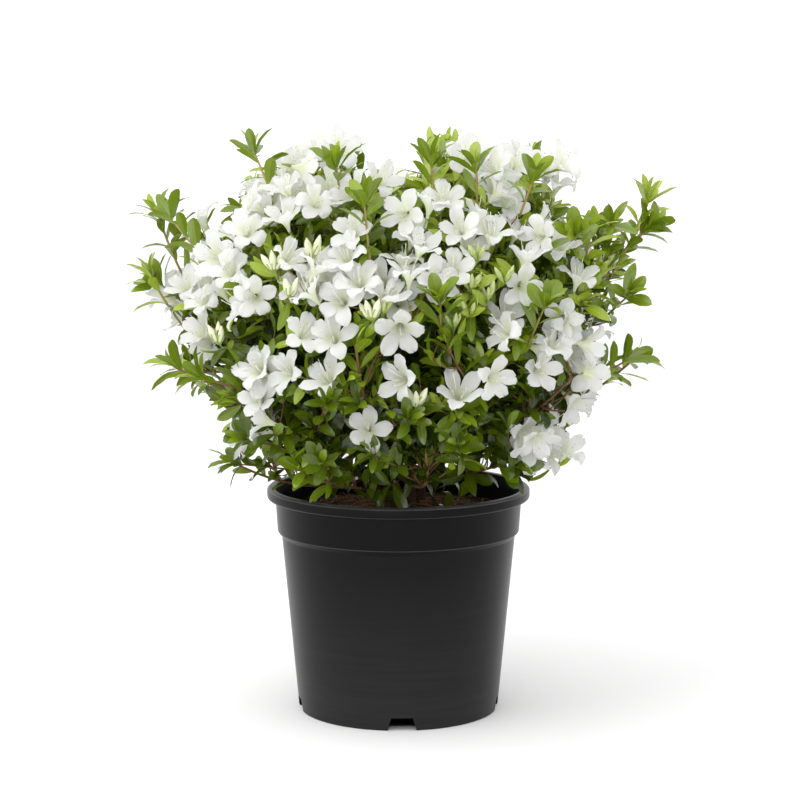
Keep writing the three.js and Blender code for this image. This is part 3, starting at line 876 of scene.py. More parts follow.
wood = Heap()
for mass in stem_masses:
    line = curve_through(mass.limb_controls, 48)
    travelled = np.concatenate(([0], np.cumsum(np.linalg.norm(np.diff(line, axis=0), axis=1))))
    flare = np.maximum(0, 1 - travelled / FLARE_LENGTH) ** 2 * (FLARE_RADIUS - STEM_RADIUS)
    wood.add(tube(line, np.linspace(STEM_RADIUS, STEM_TIP_RADIUS, 49) + flare, 14, bark_relief))
for mass in bough_masses:
    line = curve_through(mass.limb_controls, 28)
    wood.add(tube(line, np.linspace(*BOUGH_RADII, 29), 10, bark_relief))
limbs = wood.piece("stems_and_boughs", [bark], "bark")
stem_nodes = ["stem_" + mass.name for mass in stem_masses]
bough_nodes = ["bough_" + mass.name for mass in bough_masses]
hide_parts(*stem_nodes, *bough_nodes)

# %% [markdown]
# ## Twigs by the plan's own rule
#
# Side twigs leave each leading shoot at the golden angle, so that no two stand over each other.
# The random numbers come from the same small rule as in the solid model, one set for each twig,
# so the twigs grow where the solid ones are. A twig is shortened until it keeps to its own space.

# %% The rule's sizes
FIRST_SEED = 31
TWIG_SPACING = 24
MOST_TWIGS = 100
FIRST_TWIG = 0.12
LAST_TWIG = 0.84
TWIG_LENGTH = 66
TWIG_SHORTEST = 0.6
TWIG_RISE = 0.3
TWIG_RADIUS = 1.05
TWIG_SHORTENINGS = (1, 0.8, 0.6, 0.45)
GOLDEN_ANGLE = 137.5
TURN_JITTER = 14
SPLAY_AT_FOOT = 66
SPLAY_AT_TIP = 42
SPLAY_JITTER = 6
LENGTH_JITTER = 0.15
MARGIN = 1
POT_CLEARANCE = 3
# How far a leading shoot grows past the solid one, and how thick the woody lines are at each end.
HIGH_MASS = 500
TIP_STEPS = (6, 12, 18)
LEADER_RADII = (1.4, 1.1)
TWIG_RADII = (1.15, 0.75)
FINE_RADII = (0.8, 0.5)
JOIN_RADII = (0.75, 0.55)
# The crown's bushy part is a rounded dome: its reach, the height of its middle, how far it goes
# above and below that, and how square its shoulders are. Long shoots stand out of it.
DOME_REACH, DOME_MIDDLE, DOME_ABOVE, DOME_BELOW, DOME_POWER = 203, 387, 163, 172, 2.3
UNDERSIDE_IN_FRONT = 243
UNDERSIDE_ELSEWHERE = 226
OPEN_MIDDLE = 72
FRINGE_FROM = 48
# Where the photograph shows sky over the crown and in its bays: x from and to, height from and to.
SKY_GAPS = [
    (-35, 24, 508, 600), (138, 200, 484, 600), (-196, -150, 490, 600), (-130, -90, 531, 600),
    (60, 130, 541, 600), (-300, -204, 340, 390), (200, 300, 352, 404), (176, 300, 200, 298),
    (-300, -172, 262, 306),
]


class Chance:
    """Repeatable random numbers from 0 to 1, by a linear congruential rule."""

    def __init__(self, seed):
        self.state = seed
        self.next()

    def next(self):
        self.state = (1664525 * self.state + 1013904223) % 2**32
        return self.state / 2**32

    def between(self, low, high):
        return low + (high - low) * self.next()


# %% Free space
def distance_to(runs, point):
    foot, span = runs[:-1], np.diff(runs, axis=0)
    share = np.clip(((point - foot) * span).sum(1) / (span * span).sum(1), 0, 1)
    return np.linalg.norm(foot + share[:, None] * span - point, axis=1).min()


def clear_of_pot(point, room=0.0):
    out = math.hypot(point[0], point[1])
    inside = out < COLLAR_FOOT[0] - WALL - 2 * POT_CLEARANCE
    floor_there = SOIL_TOP if inside else POT_HEIGHT if out < RIM_RADIUS + POT_CLEARANCE else -1e9
    return point[2] >= floor_there + POT_CLEARANCE + room


def is_free(point, mass, room):
    """True nearer to this mass's leading shoot than to any other, and clear of pot and limbs."""
    if not clear_of_pot(point, room):
        return False
    own = distance_to(mass.leader, point)
    for other in masses:
        if other is not mass and distance_to(other.leader, point) < own + 2 * MARGIN + room:
            return False
        to_limb = distance_to(other.limb, point)
        if to_limb < STEM_RADIUS + MARGIN + room and (other is not mass or own > to_limb):
            return False
    return True


def share_out(point):
    """How far out a point is, from 0 at the dome's middle to 1 on its surface."""
    rise = point[2] - DOME_MIDDLE
    up = abs(rise) / (DOME_ABOVE if rise > 0 else DOME_BELOW)
    out = math.hypot(point[0], point[1]) / DOME_REACH
    return (out**DOME_POWER + up**DOME_POWER) ** (1 / DOME_POWER)


def above_underside(point, room=0.0):
    """True above the crown's lower edge, which leaves the mix in view in front."""
    out = math.hypot(point[0], point[1])
    if out < OPEN_MIDDLE:
        return clear_of_pot(point, room)
    facing = -point[1] / out
    return point[2] > (UNDERSIDE_IN_FRONT if facing > 0.3 else UNDERSIDE_ELSEWHERE) + room


def above_fringe(point, room=0.0):
    """As above_underside, but lower at both sides of the front, where leaves hang over the rim."""
    if abs(point[0]) > FRINGE_FROM:
        return point[2] > UNDERSIDE_ELSEWHERE + room
    return above_underside(point, room)


def in_the_sky(point, room=0.0):
    """True where the photograph shows sky, in a strip as deep as the plant."""
    return any(
        left - room / 2 < point[0] < right + room / 2 and low - room < point[2] < high + room
        for left, right, low, high in SKY_GAPS
    )


# %% Directions
def turn_about(vector, axis, degrees):
    angle = math.radians(degrees)
    across = np.cross(axis, vector) * math.sin(angle)
    return vector * math.cos(angle) + across + axis * (axis @ vector) * (1 - math.cos(angle))


def splayed(along, splay, turn):
    """The direction that leaves `along` by `splay` degrees, at `turn` degrees round it."""
    side = np.cross((0, 0, 1), along)
    side = unit(side) if side @ side > 1e-4 else np.array((1.0, 0, 0))
    return turn_about(along, turn_about(side, along, turn), splay)


# %% Shoots
class Shoot:
    """A thin woody line that can carry finer shoots, leaves and flowers."""

    def __init__(self, line, radii, mass, order):
        self.line, self.radii, self.mass, self.order = line, radii, mass, order
        self.held = 0

    @property
    def length(self):
        return np.linalg.norm(np.diff(self.line, axis=0), axis=1).sum()

    @property
    def tip(self):
        return self.line[-1]

    @property
    def axis(self):
        return unit(self.line[-1] - self.line[-2])


def lifted(root, direction, length, mass, radii, order, rise=TWIG_RISE):
    """A shoot that sets out in a direction and turns up towards the light."""
    end = root + direction * length + (0, 0, length * rise)
    line = curve_through([root, root + direction * length * 0.5, end], 6)
    return Shoot(line, radii, mass, order)


def leader_twigs(mass, seed):
    phase = Chance(seed).between(0, 360)
    count = max(3, int(np.linalg.norm(mass.tip - mass.start) / TWIG_SPACING + 0.5))
    for i in range(count):
        chance = Chance(seed * MOST_TWIGS + i)
        share = FIRST_TWIG + (LAST_TWIG - FIRST_TWIG) * i / (count - 1)
        turn = phase + i * GOLDEN_ANGLE + chance.between(-TURN_JITTER, TURN_JITTER)
        splay = SPLAY_AT_FOOT + (SPLAY_AT_TIP - SPLAY_AT_FOOT) * share
        splay += chance.between(-SPLAY_JITTER, SPLAY_JITTER)
        reach = TWIG_LENGTH * (1 + (TWIG_SHORTEST - 1) * share)
        reach *= chance.between(1 - LENGTH_JITTER, 1 + LENGTH_JITTER)
        root, along = along_runs(mass.leader, share)
        direction = splayed(along, splay, turn)
        for part in TWIG_SHORTENINGS:
            end = root + direction * reach * part + (0, 0, reach * part * TWIG_RISE)
            tests = (root + (end - root) * s for s in (0.5, 0.7, 0.85, 1))
            inside = share_out(end) < 1.02 and above_underside(end) and not in_the_sky(end, 8)
            if inside and all(is_free(p, mass, TWIG_RADIUS) for p in tests):
                yield lifted(root, direction, reach * part, mass, TWIG_RADII, 1)
                break


# %% Leading shoots and side twigs
leaders, twigs = [], []
for i, mass in enumerate(masses):
    line = curve_through(mass.leader_controls, 24)
    onward = unit(line[-1] - line[-2])
    steps = TIP_STEPS[:1] if mass.height > HIGH_MASS else TIP_STEPS
    growth = [mass.tip + onward * s + (0, 0, 0.006 * s * s) for s in steps]
    leaders.append(Shoot(np.concatenate((line, growth)), LEADER_RADII, mass, 0))
    twigs += leader_twigs(mass, FIRST_SEED + i)
print(len(leaders), "leading shoots and", len(twigs), "side twigs")

# %% [markdown]
# ## Finer twigs
#
# The real shrub branches again and again. The same golden-angle rule sets short shoots between the
# side twigs and along each of them, inside the same dome, so the outline stays and the crown
# fills. Each shoot's tip carries a whorl of leaves.

# %% Finer twigs
bushy = random.Random(23)
SPROUTS = 9
BASE_MASSES_BELOW = 270


def side_shoots(parent, shares, length, splay, order):
    """Shoots along a parent at the golden angle, kept inside the crown and above the pot."""
    turn = bushy.uniform(0, 360)
    for share in shares:
        turn += GOLDEN_ANGLE + bushy.uniform(-18, 18)
        root, along = along_runs(parent.line, share)
        direction = splayed(along, splay + bushy.uniform(-10, 10), turn)
        reach = length * bushy.uniform(0.75, 1.25)
        for part in (1, 0.7, 0.5):
            shoot = lifted(root, direction, reach * part, parent.mass, FINE_RADII, order, 0.45)
            free = above_fringe(shoot.tip, 2) and not in_the_sky(shoot.tip, 12)
            if share_out(shoot.tip) < 1 and free:
                yield shoot
                break


# %% Grow the finer twigs
finer, spurs, sprouts = [], [], []
for leader in leaders:
    finer += side_shoots(leader, np.linspace(0.06, 0.7, 8), 32, 56, 2)
for twig in twigs:
    finer += side_shoots(twig, (0.3, 0.55, 0.8), 28, 52, 2)
for mass in bough_masses:
    if mass.height < BASE_MASSES_BELOW:
        limb = Shoot(curve_through(mass.limb_controls, 12), BOUGH_RADII, mass, 0)
        spurs += side_shoots(limb, (0.5, 0.66, 0.82, 0.96), 26, 70, 1)
for k in range(SPROUTS):
    root = point_at(k * GOLDEN_ANGLE, bushy.uniform(26, 62), 0)
    root[2] = mix_height(root[0], root[1])
    outward = unit(root * (1, 1, 0) + (0, 0, bushy.uniform(40, 90)))
    sprouts.append(lifted(root, outward, bushy.uniform(14, 26), masses[k % 6], FINE_RADII, 1))
print(len(finer), "finer shoots,", len(spurs), "spurs and", len(sprouts), "sprouts at the foot")

# %% [markdown]
# ## Leaves
#
# An azalea leaf is a pointed oval, 25 to 30 mm long and a third as wide, folded a little along its
# midrib. A few faces each are enough: two rows of them meet at a pale rib, and the fold gives each
# leaf a light half and a dark half. Eight pointed leaves and four blunter ones, each with its own
# fold and bend, are mixed at random.

# %% Leaf greens
# One leaf green in five shades, from painted deep shade to painted light; the last also holds the
# paler green of young leaves.
LEAF_GREENS = {
    "leaves_painted_deep_shade": ((0.018, 0.032, 0.001), (0.036, 0.060, 0.002)),
    "leaves_shade": ((0.052, 0.086, 0.002), (0.090, 0.136, 0.004)),
    "leaves_green": ((0.115, 0.178, 0.005), (0.170, 0.245, 0.010)),
    "leaves_painted_lit": ((0.225, 0.312, 0.014), (0.310, 0.400, 0.030)),
    "leaves_young_and_painted_lit": ((0.300, 0.395, 0.035), (0.390, 0.485, 0.075)),
}


def leaf_paints(name, dark, light):
    """The blade and its midrib, which is the leaf's own green, a little paler and yellower."""
    blade = speckled(
        name, (0.24, 0.58), 70, dark, light, (500, 0.25, 0.3), through=(0.22, light)
    )
    paler = [tuple(channel * 1.35 + 0.02 for channel in green) for green in (dark, light)]
    return [blade, speckled("ribs_of_" + name, (0.4, 0.2), 70, *paler, (500, 0.2, 0.2))]


# %% Leaf shapes
LEAF_LENGTH = 29
LEAF_STATIONS = (0, 0.07, 0.20, 0.36, 0.53, 0.70, 0.84, 0.945, 1)
POINTED_HALF_WIDTHS = (0.016, 0.040, 0.096, 0.146, 0.172, 0.168, 0.126, 0.066, 0)
BLUNT_HALF_WIDTHS = (0.018, 0.044, 0.110, 0.176, 0.220, 0.232, 0.196, 0.118, 0)
RIB_HALF_WIDTH = 0.011
shaping = random.Random(5)


def leaf_shape(half_widths):
    """A leaf of unit length along y with its upper face towards z and a pale midrib."""
    fold = shaping.uniform(0.12, 0.36)
    bend = shaping.uniform(-0.08, 0.30)
    sway = shaping.uniform(-0.06, 0.06)
    width = shaping.uniform(0.8, 1.0)
    points = []
    for along, half in zip(LEAF_STATIONS, half_widths):
        drop = -bend * along * along + 0.05 * math.sin(along * 3.1)
        middle = np.array((sway * along * along, along - 0.3 * bend * bend * along**3, drop))
        ripple = 0.012 * math.sin(along * 17 + shaping.uniform(-1, 1))
        rib = RIB_HALF_WIDTH * (1.02 - along)
        for out in (-half * width, -rib, rib, half * width):
            edge = 0 if abs(out) == rib else ripple
            points.append(middle + (out, 0, fold * abs(out) + edge))
    rows = range(0, 4 * len(LEAF_STATIONS) - 4, 4)
    faces = [(a + c, a + c + 1, a + c + 5, a + c + 4) for a in rows for c in range(3)]
    return Shape(points, faces, [0, 1, 0] * len(rows))


leaf_shapes = [leaf_shape(POINTED_HALF_WIDTHS) for _ in range(8)]
broad_leaf_shapes = [leaf_shape(BLUNT_HALF_WIDTHS) for _ in range(4)]
print("each leaf has", len(leaf_shapes[0].faces), "faces")

# %% [markdown]
# ## Flowers
#
# A flower is a short tube that opens into five rounded lobes with ruffled edges. Each lobe is a
# small grid of faces, whose rows say how far out, how far forward and how wide it is. The stamens
# are fine curved tubes with dark tips that reach past the mouth. A bud is a furrowed spindle with
# green scales at its foot.

# %% Petal finishes
PETAL_GLOSS = (0.55, 0.2)
BUD_GLOSS = (0.5, 0.25)
petal = speckled(
    "white_petals", PETAL_GLOSS, 110, (0.73, 0.73, 0.72), (0.82, 0.82, 0.81), (420, 0.25, 0.3),
    through=(0.46, (0.89, 0.89, 0.88)),
)
throat = speckled(
    "green_white_throats", PETAL_GLOSS, 300, (0.72, 0.75, 0.54), (0.81, 0.83, 0.68),
    (500, 0.25, 0.3), through=(0.55, (0.90, 0.92, 0.78)),
)
creamy = speckled(
    "cream_petal_feet", PETAL_GLOSS, 200, (0.72, 0.74, 0.60), (0.80, 0.81, 0.73),
    (500, 0.25, 0.3), through=(0.5, (0.88, 0.90, 0.78)),
)
filament = speckled(
    "white_stamens", (0.5, 0.2), 200, (0.70, 0.72, 0.62), (0.80, 0.80, 0.74), (900, 0.2, 0.1)
)
anther = speckled(
    "dark_anthers", (0.6, 0.3), 600, (0.26, 0.19, 0.14), (0.48, 0.40, 0.30), (1500, 0.4, 0.2)
)
stalk = speckled(
    "flower_stalks", (0.55, 0.25), 200, (0.16, 0.22, 0.05), (0.26, 0.34, 0.09), (1200, 0.4, 0.2)
)
bud_green = speckled(
    "bud_scales", (0.5, 0.3), 120, (0.20, 0.27, 0.05), (0.36, 0.42, 0.12), (800, 0.3, 0.2)
)
bud_olive = speckled(
    "young_bud_petals", BUD_GLOSS, 160, (0.30, 0.36, 0.12), (0.50, 0.54, 0.26), (800, 0.3, 0.2)
)
bud_cream = speckled(
    "bud_petals", BUD_GLOSS, 160, (0.58, 0.62, 0.36), (0.80, 0.81, 0.66), (800, 0.3, 0.2),
    through=(0.15, (0.75, 0.78, 0.55)),
)

# %% The rows of a lobe
# The rows of a lobe from its foot to its tip: distance from the axis, distance forward, half width.
LOBE_ROWS = [
    (1.2, 0.0, 0.9), (1.8, 5.0, 1.3), (3.2, 10.0, 2.5), (5.4, 14.0, 4.2), (7.8, 17.2, 5.5),
    (10.4, 19.9, 6.9), (13.3, 22.1, 7.6), (16.3, 23.7, 7.4), (19.2, 24.5, 6.2), (21.8, 24.6, 4.0),
    (23.9, 24.0, 1.3),
]
LOBE_COLUMNS = np.linspace(-1, 1, 9)
LAST_ROW = len(LOBE_ROWS) - 1
# Up to this row the lobes form a tube. It is green-white, and its mouth is cream.
FREE_ROW = 3
BLOTCH_ROWS = 6
PETAL, THROAT, CREAM = range(3)


def lobe_finish(lobe, k, j):
    """The finish of one face: the first lobe, which is the top one, has a cream blotch."""
    if k < FREE_ROW:
        return THROAT
    blotch = lobe == 0 and k < BLOTCH_ROWS and 2 <= j <= 5
    return CREAM if k == FREE_ROW or blotch else PETAL


# %% Flower shape
def flower_shape():
    """A flower that looks along z, with its foot at the origin."""
    points, faces, finishes = [], [], []
    openness = shaping.uniform(-0.32, 0.26)
    overlap = shaping.choice((-1, 1))
    width = len(LOBE_COLUMNS)
    for lobe in range(5):
        angle = math.radians(90 + 72 * lobe + shaping.uniform(-7, 7))
        out = polar(angle, 1)
        across = np.array((-out[1], out[0], 0))
        curl = shaping.uniform(-0.28, 0.24) + openness
        cup = shaping.uniform(-0.35, 0.35)
        twist = shaping.uniform(0.05, 0.42) * overlap
        ruffle = shaping.uniform(1.1, 2.4)
        phase = shaping.uniform(0, ANY_TURN)
        longer = shaping.uniform(0.86, 1.06)
        wider = shaping.uniform(0.85, 1.1)
        sway = shaping.uniform(-3.2, 3.2)
        base = len(points)
        for k, (reach, forward, half) in enumerate(LOBE_ROWS):
            free = max(0, (k - FREE_ROW) / (LAST_ROW - FREE_ROW))
            reach = reach * (1 + (longer - 1) * free) * (1 - 0.35 * abs(curl) * free * free)
            forward = forward + curl * 22 * free * free
            half = half * (1 + (wider - 1) * free)
            for w in LOBE_COLUMNS:
                round_tube = math.cos(min(1.2, half / reach) * w) if k <= FREE_ROW else 1
                crinkle = (13 if w > 0 else 15) * free
                scallop = 1 + 0.09 * free * math.sin(1.7 * phase + crinkle)
                side = across * (half * scallop * w + sway * free * free)
                crinkle = (11 if w > 0 else 13) * free
                wave = ruffle * free * abs(w) ** 1.5 * math.sin(phase + crinkle + 2 * w)
                pleat = -1.7 * (1 - abs(w)) ** 2 + 0.5 * math.cos(3 * math.pi * w)
                lift = cup * half * w * w * free + wave + pleat * min(1, 2 * free)
                lift += twist * half * w * free
                notch = 0.8 * math.exp(-((w / 0.3) ** 2)) * (k == LAST_ROW)
                points.append(out * (reach * round_tube - notch) + side + (0, 0, forward + lift))
        for k in range(LAST_ROW):
            for j in range(width - 1):
                a = base + k * width + j
                faces.append((a, a + 1, a + width + 1, a + width))
                finishes.append(lobe_finish(lobe, k, j))
    return Shape(points, faces, finishes)


flower_shapes = [flower_shape() for _ in range(8)]
print("each flower has", len(flower_shapes[0].faces), "faces")

# %% Stamens and buds
BUD_ROWS = [
    (0, 0.9), (1.5, 1.7), (4.2, 2.6), (8, 3.2), (12, 3.1), (15.2, 2.4), (18, 1.4), (20, 0.5),
]
BUD_SIDES = 15


def stamen_shape():
    """Five stamens and a longer pistil, curving up towards the flower's top lobe."""
    heap = Heap()
    for k in range(6):
        angle = shaping.uniform(0, ANY_TURN)
        spread = shaping.uniform(1.5, 6.5)
        length = shaping.uniform(22, 31) if k else 34
        x, y, _ = polar(angle, spread)
        tip = np.array((x * 1.5, y * 1.5 + 2.5, length))
        line = curve_through([(0, 0, 6), (x, y - 2, length * 0.6), tip], 5)
        heap.add(tube(line, np.full(6, 0.24 if k else 0.3), 4))
        blob = pebbles[k]
        heap.add(Shape(blob.points * (0.35, 0.35, 0.6), blob.faces), tip, finish=1 if k else 0)
    return Shape(np.concatenate(heap.points), heap.faces, heap.finishes)


def bud_shape(green_rows, petal_finish):
    """A pointed bud along z: twisted petals above green scales."""
    twist = shaping.uniform(0.05, 0.12)
    points, faces, finishes = [], [], []
    for height, radius in BUD_ROWS:
        for j in range(BUD_SIDES):
            angle = 2 * math.pi * j / BUD_SIDES
            furrow = 1 + 0.09 * math.cos(5 * angle) * min(1, height / 6)
            points.append(polar(angle + height * twist, radius * furrow, height))
    top = len(points) - BUD_SIDES
    for k, low in enumerate(range(0, top, BUD_SIDES)):
        faces += band(low, low + BUD_SIDES, BUD_SIDES)
        scales = [k < green_rows + (2 if j % 3 == 0 else 0) for j in range(BUD_SIDES)]
        finishes += [0 if scale else petal_finish for scale in scales]
    points.append((0, 0, BUD_ROWS[-1][0] + 0.6))
    faces += [(top + j, top + (j + 1) % BUD_SIDES, top + BUD_SIDES) for j in range(BUD_SIDES)]
    return Shape(points, faces, finishes + [petal_finish] * BUD_SIDES)


stamens = [stamen_shape() for _ in range(4)]
bud_shapes = [bud_shape(rows, 1) for rows in (1, 2, 2)]
young_bud_shapes = [bud_shape(rows, 2) for rows in (2, 3, 3)]
print(len(stamens), "sets of stamens and", len(bud_shapes + young_bud_shapes), "bud shapes")

# %% [markdown]
# ## Where the flowers open
#
# The photograph shows the crown from the front, so the flowers there open where they are seen: a
# line of sight through a pixel is followed to the crown's surface, and a short shoot joins the
# flower to the nearest twig. Round the sides and back the rule decides. Leafy sprays inside the
# crown fill its shade.

# %% Places seen in the photograph
BLOOMS_SEEN = [
    (320, 144), (340, 149), (308, 170), (282, 182), (248, 202), (317, 200), (283, 213), (247, 227),
    (383, 177), (347, 190), (403, 213), (432, 198), (467, 157), (491, 163), (517, 161), (552, 163),
    (503, 187), (460, 227), (492, 227), (537, 235), (560, 242), (527, 253), (580, 272), (350, 230),
    (292, 255), (320, 262), (343, 253), (358, 278), (423, 243), (410, 267), (453, 267), (441, 281),
    (445, 195), (238, 285), (256, 418), (233, 306), (213, 256), (227, 268), (200, 297), (183, 283),
    (255, 298), (305, 287), (338, 300), (388, 292), (197, 330), (523, 287), (400, 333), (305, 332),
    (332, 335), (500, 330), (253, 367), (258, 397), (283, 372), (323, 375), (397, 380), (460, 390),
    (497, 380), (543, 370), (557, 340), (573, 327), (592, 347), (368, 430), (578, 408), (540, 443),
    (570, 447), (474, 148), (566, 160), (236, 442), (590, 372),
]
# Flowers of which only parts show between the others.
BLOOMS_BEHIND = [
    (255, 190), (268, 196), (404, 255), (497, 186), (510, 200), (560, 178), (590, 362), (246, 432),
    (556, 455), (330, 152), (296, 150), (218, 286), (182, 300), (240, 225), (263, 213), (268, 187),
    (291, 165), (300, 190), (328, 185), (330, 272), (415, 232), (399, 300), (472, 242), (203, 345),
    (318, 285), (576, 352), (481, 213), (506, 168), (481, 165), (540, 168), (520, 226), (548, 222),
    (166, 291), (178, 312), (232, 252), (590, 330), (546, 352), (562, 320), (586, 396), (556, 424),
    (527, 437), (262, 375), (327, 142), (203, 283), (507, 312), (534, 456), (262, 428), (300, 282),
    (527, 158), (233, 228), (380, 281), (472, 146), (533, 440), (431, 280),
]
BUDS_SEEN = [(416, 410), (373, 323), (290, 300), (275, 273), (220, 347), (312, 262)]
# Younger buds, still green.
YOUNG_BUDS_SEEN = [
    (470, 317), (488, 302), (471, 292), (505, 285), (478, 262), (383, 316), (454, 330),
]
# Leafy shoots that stand out in front of the flowers: the pixel of the foot and of the tip.
SHOOTS_SEEN = [
    ((370, 262), (364, 200)), ((340, 195), (336, 166)), ((433, 205), (431, 160)),
    ((477, 205), (476, 168)), ((520, 215), (534, 178)), ((441, 340), (440, 302)),
    ((528, 345), (545, 305)), ((580, 262), (574, 236)), ((603, 250), (611, 224)),
    ((270, 190), (254, 152)), ((212, 268), (170, 218)), ((188, 306), (160, 284)),
    ((238, 397), (176, 368)), ((604, 318), (628, 296)), ((566, 394), (628, 360)),
    ((608, 268), (644, 230)), ((290, 450), (243, 438)), ((296, 470), (236, 464)),
    ((250, 392), (200, 378)), ((612, 262), (652, 226)), ((395, 440), (410, 420)),
    ((318, 430), (327, 402)), ((462, 470), (458, 445)), ((405, 470), (372, 455)),
    ((345, 480), (322, 462)),
]
print(len(BLOOMS_SEEN), "whole flowers and", len(BLOOMS_BEHIND), "partly hidden ones seen")

# %% Lines of sight
# How far out the flowers stand: at the crown's surface in front, or a little behind it.
CROWN_FRONT = 1.02
CROWN_BEHIND = CROWN_FRONT - 0.08
# Flowers above this row of the frame stand against the sky and look further forward.
TOP_ROW = 168


def crown_point(x, y, share):
    """Where a line of sight first comes within a share of the crown's bushy part."""
    direction = sight_line(x, y)
    steps = np.arange(1850, 2500, 2.0)
    shares = [share_out(CAMERA_PLACE + direction * s) for s in steps]
    inside = [s for s, there in zip(steps, shares) if there < share]
    return CAMERA_PLACE + direction * (inside[0] if inside else steps[int(np.argmin(shares))])


# %% Shoots that join a place to the twigs
shoots = leaders + twigs + finer
knots = [(place, shoot, k) for shoot in shoots for k, place in enumerate(shoot.line) if k > 1]
knot_places = np.array([place for place, _, _ in knots])
twig_ends = np.array([place for shoot in shoots for place in shoot.line[-3:]])
print(len(knots), "places where a shoot can start")


def joined_to(place, room, order=3):
    """A shoot from the nearest twig further in to a place, leaving room for what it carries."""
    inward = np.linalg.norm(knot_places - HEART, axis=1) < np.linalg.norm(place - HEART) - room
    far = np.linalg.norm(knot_places - place, axis=1) + np.where(inward, 0, 1e6)
    root, parent, k = knots[int(np.argmin(far))]
    parent.held = max(parent.held, k)
    span, travelled = place - root, root - parent.line[0]
    onward = unit(travelled if np.linalg.norm(travelled) > 1 else span)
    bend = root + onward * np.linalg.norm(span) * 0.35 + span * 0.2
    return Shoot(curve_through([root, bend, place], 6), JOIN_RADII, parent.mass, order)


# %% Shaded sprays inside the crown
INNER_SPRAYS = 340
INNER_SPACING = 22
SPRAYS_FROM, SPRAYS_TO = 0.3, 0.86
inner_shoots = []
for _ in range(40 * INNER_SPRAYS):
    place = np.array((bushy.uniform(-190, 190), bushy.uniform(-190, 190), bushy.uniform(206, 530)))
    if not SPRAYS_FROM < share_out(place) < SPRAYS_TO or not above_underside(place, 8):
        continue
    if all(np.linalg.norm(place - other.tip) > INNER_SPACING for other in inner_shoots):
        inner_shoots.append(joined_to(place, 6))
    if len(inner_shoots) == INNER_SPRAYS:
        break
print(len(inner_shoots), "shaded sprays")

# %% Flowers and their room
flowering = random.Random(77)
FLOWER_DEPTH = 22
LEAN_OF_SEEN = 0.46
SEEN_RADII = (1.2, 0.9)
LOW_SEEN_RADII = (0.9, 0.7)
LOW_BELOW = 330
# The flowers face away from here. A twig's end within these reaches would cross their petals.
CROWN_MIDDLE = HEART + (0, 0, 70)
PETALS_WIDE, PETALS_BEHIND, PULL = 13, 9, 4
TURN_TO_CAMERA, TOP_TURN_TO_CAMERA = 0.16, 0.6
FOOT_SHARE, TIP_SHARE = 0.96, 1.1
flowers, bud_groups, seen_shoots = [], [], []


class Flower:
    def __init__(self, mouth, axis, size):
        self.mouth, self.axis, self.size = mouth, axis, size
        self.foot = mouth - axis * FLOWER_DEPTH * size


def facing_out(place, spread):
    """Out of the crown, with a random lean."""
    outward = unit(place - CROWN_MIDDLE)
    return unit(outward + np.array([flowering.gauss(0, spread) for _ in range(3)]))


def pulled_clear(mouth, axis):
    """The mouth, moved towards the camera while a twig would end among the petals."""
    for _ in range(4):
        away = twig_ends - mouth
        ahead = away @ axis
        beside = np.linalg.norm(away - ahead[:, None] * axis, axis=1)
        near = (ahead > -PETALS_BEHIND) & (ahead < PETALS_WIDE) & (beside < PETALS_WIDE)
        if not np.any(near):
            break
        mouth = mouth + PULL * unit(CAMERA_PLACE - mouth)
    return mouth


# %% Put them in their places
for pixels, share in ((BLOOMS_SEEN, CROWN_FRONT), (BLOOMS_BEHIND, CROWN_BEHIND)):
    for x, y in pixels:
        mouth = crown_point(x, y, share)
        axis = facing_out(mouth, LEAN_OF_SEEN)
        towards = TOP_TURN_TO_CAMERA if y < TOP_ROW else TURN_TO_CAMERA
        axis = unit(axis + towards * unit(CAMERA_PLACE - mouth))
        flowers.append(Flower(pulled_clear(mouth, axis), axis, flowering.uniform(0.88, 1.04)))
for pixels, young in ((BUDS_SEEN, False), (YOUNG_BUDS_SEEN, True)):
    for x, y in pixels:
        place = crown_point(x, y, CROWN_FRONT)
        bud_groups.append((place, facing_out(place, 0.2), young))
for foot, tip in SHOOTS_SEEN:
    low, high = crown_point(*foot, FOOT_SHARE), crown_point(*tip, TIP_SHARE)
    line = curve_through([low, (low + high) / 2 + unit(high - HEART) * 3, high], 6)
    radii = SEEN_RADII if high[2] > LOW_BELOW else LOW_SEEN_RADII
    seen_shoots.append(Shoot(line, radii, masses[0], 3))
print(len(flowers), "flowers placed from the photograph")

# %% Flowers by the rule
FLOWER_SPACING = 25
BLOOM_GAIN = 1.7
MOUTH_AHEAD = 12
SKY_ROOM = 16
SURFACE_FROM = 0.86
LOWEST_FLOWER = 255
SEEN_FROM = 0.12
to_camera = unit(CAMERA_PLACE * (1, 1, 0))


def takes_flowers(mouth):
    """True at the crown's surface, on the sides that the photograph doesn't show."""
    seen = unit((mouth - HEART) * (1, 1, 0.4)) @ to_camera > SEEN_FROM
    if seen or in_the_sky(mouth, SKY_ROOM):
        return False
    return share_out(mouth) >= SURFACE_FROM and mouth[2] >= LOWEST_FLOWER


for shoot in twigs + finer:
    mouth = shoot.tip + shoot.axis * MOUTH_AHEAD
    if not takes_flowers(mouth) or flowering.random() > shoot.mass.bloom * BLOOM_GAIN:
        continue
    if all(np.linalg.norm(mouth - other.mouth) > FLOWER_SPACING for other in flowers):
        axis = unit(facing_out(mouth, 0.25) + shoot.axis * 0.5)
        flowers.append(Flower(mouth, axis, flowering.uniform(0.88, 1.02)))
print(len(flowers), "flowers in all")

# %% Join the flowers, buds and shoots to the twigs
flower_shoots = [joined_to(flower.foot - flower.axis * 9 * flower.size, 8) for flower in flowers]
bud_shoots = [joined_to(place - axis * 8, 8) for place, axis, _ in bud_groups]
links = [joined_to(shoot.line[0], 6, order=1) for shoot in seen_shoots]
print(len(flower_shoots), "flower shoots,", len(bud_shoots), "bud shoots and", len(links), "links")

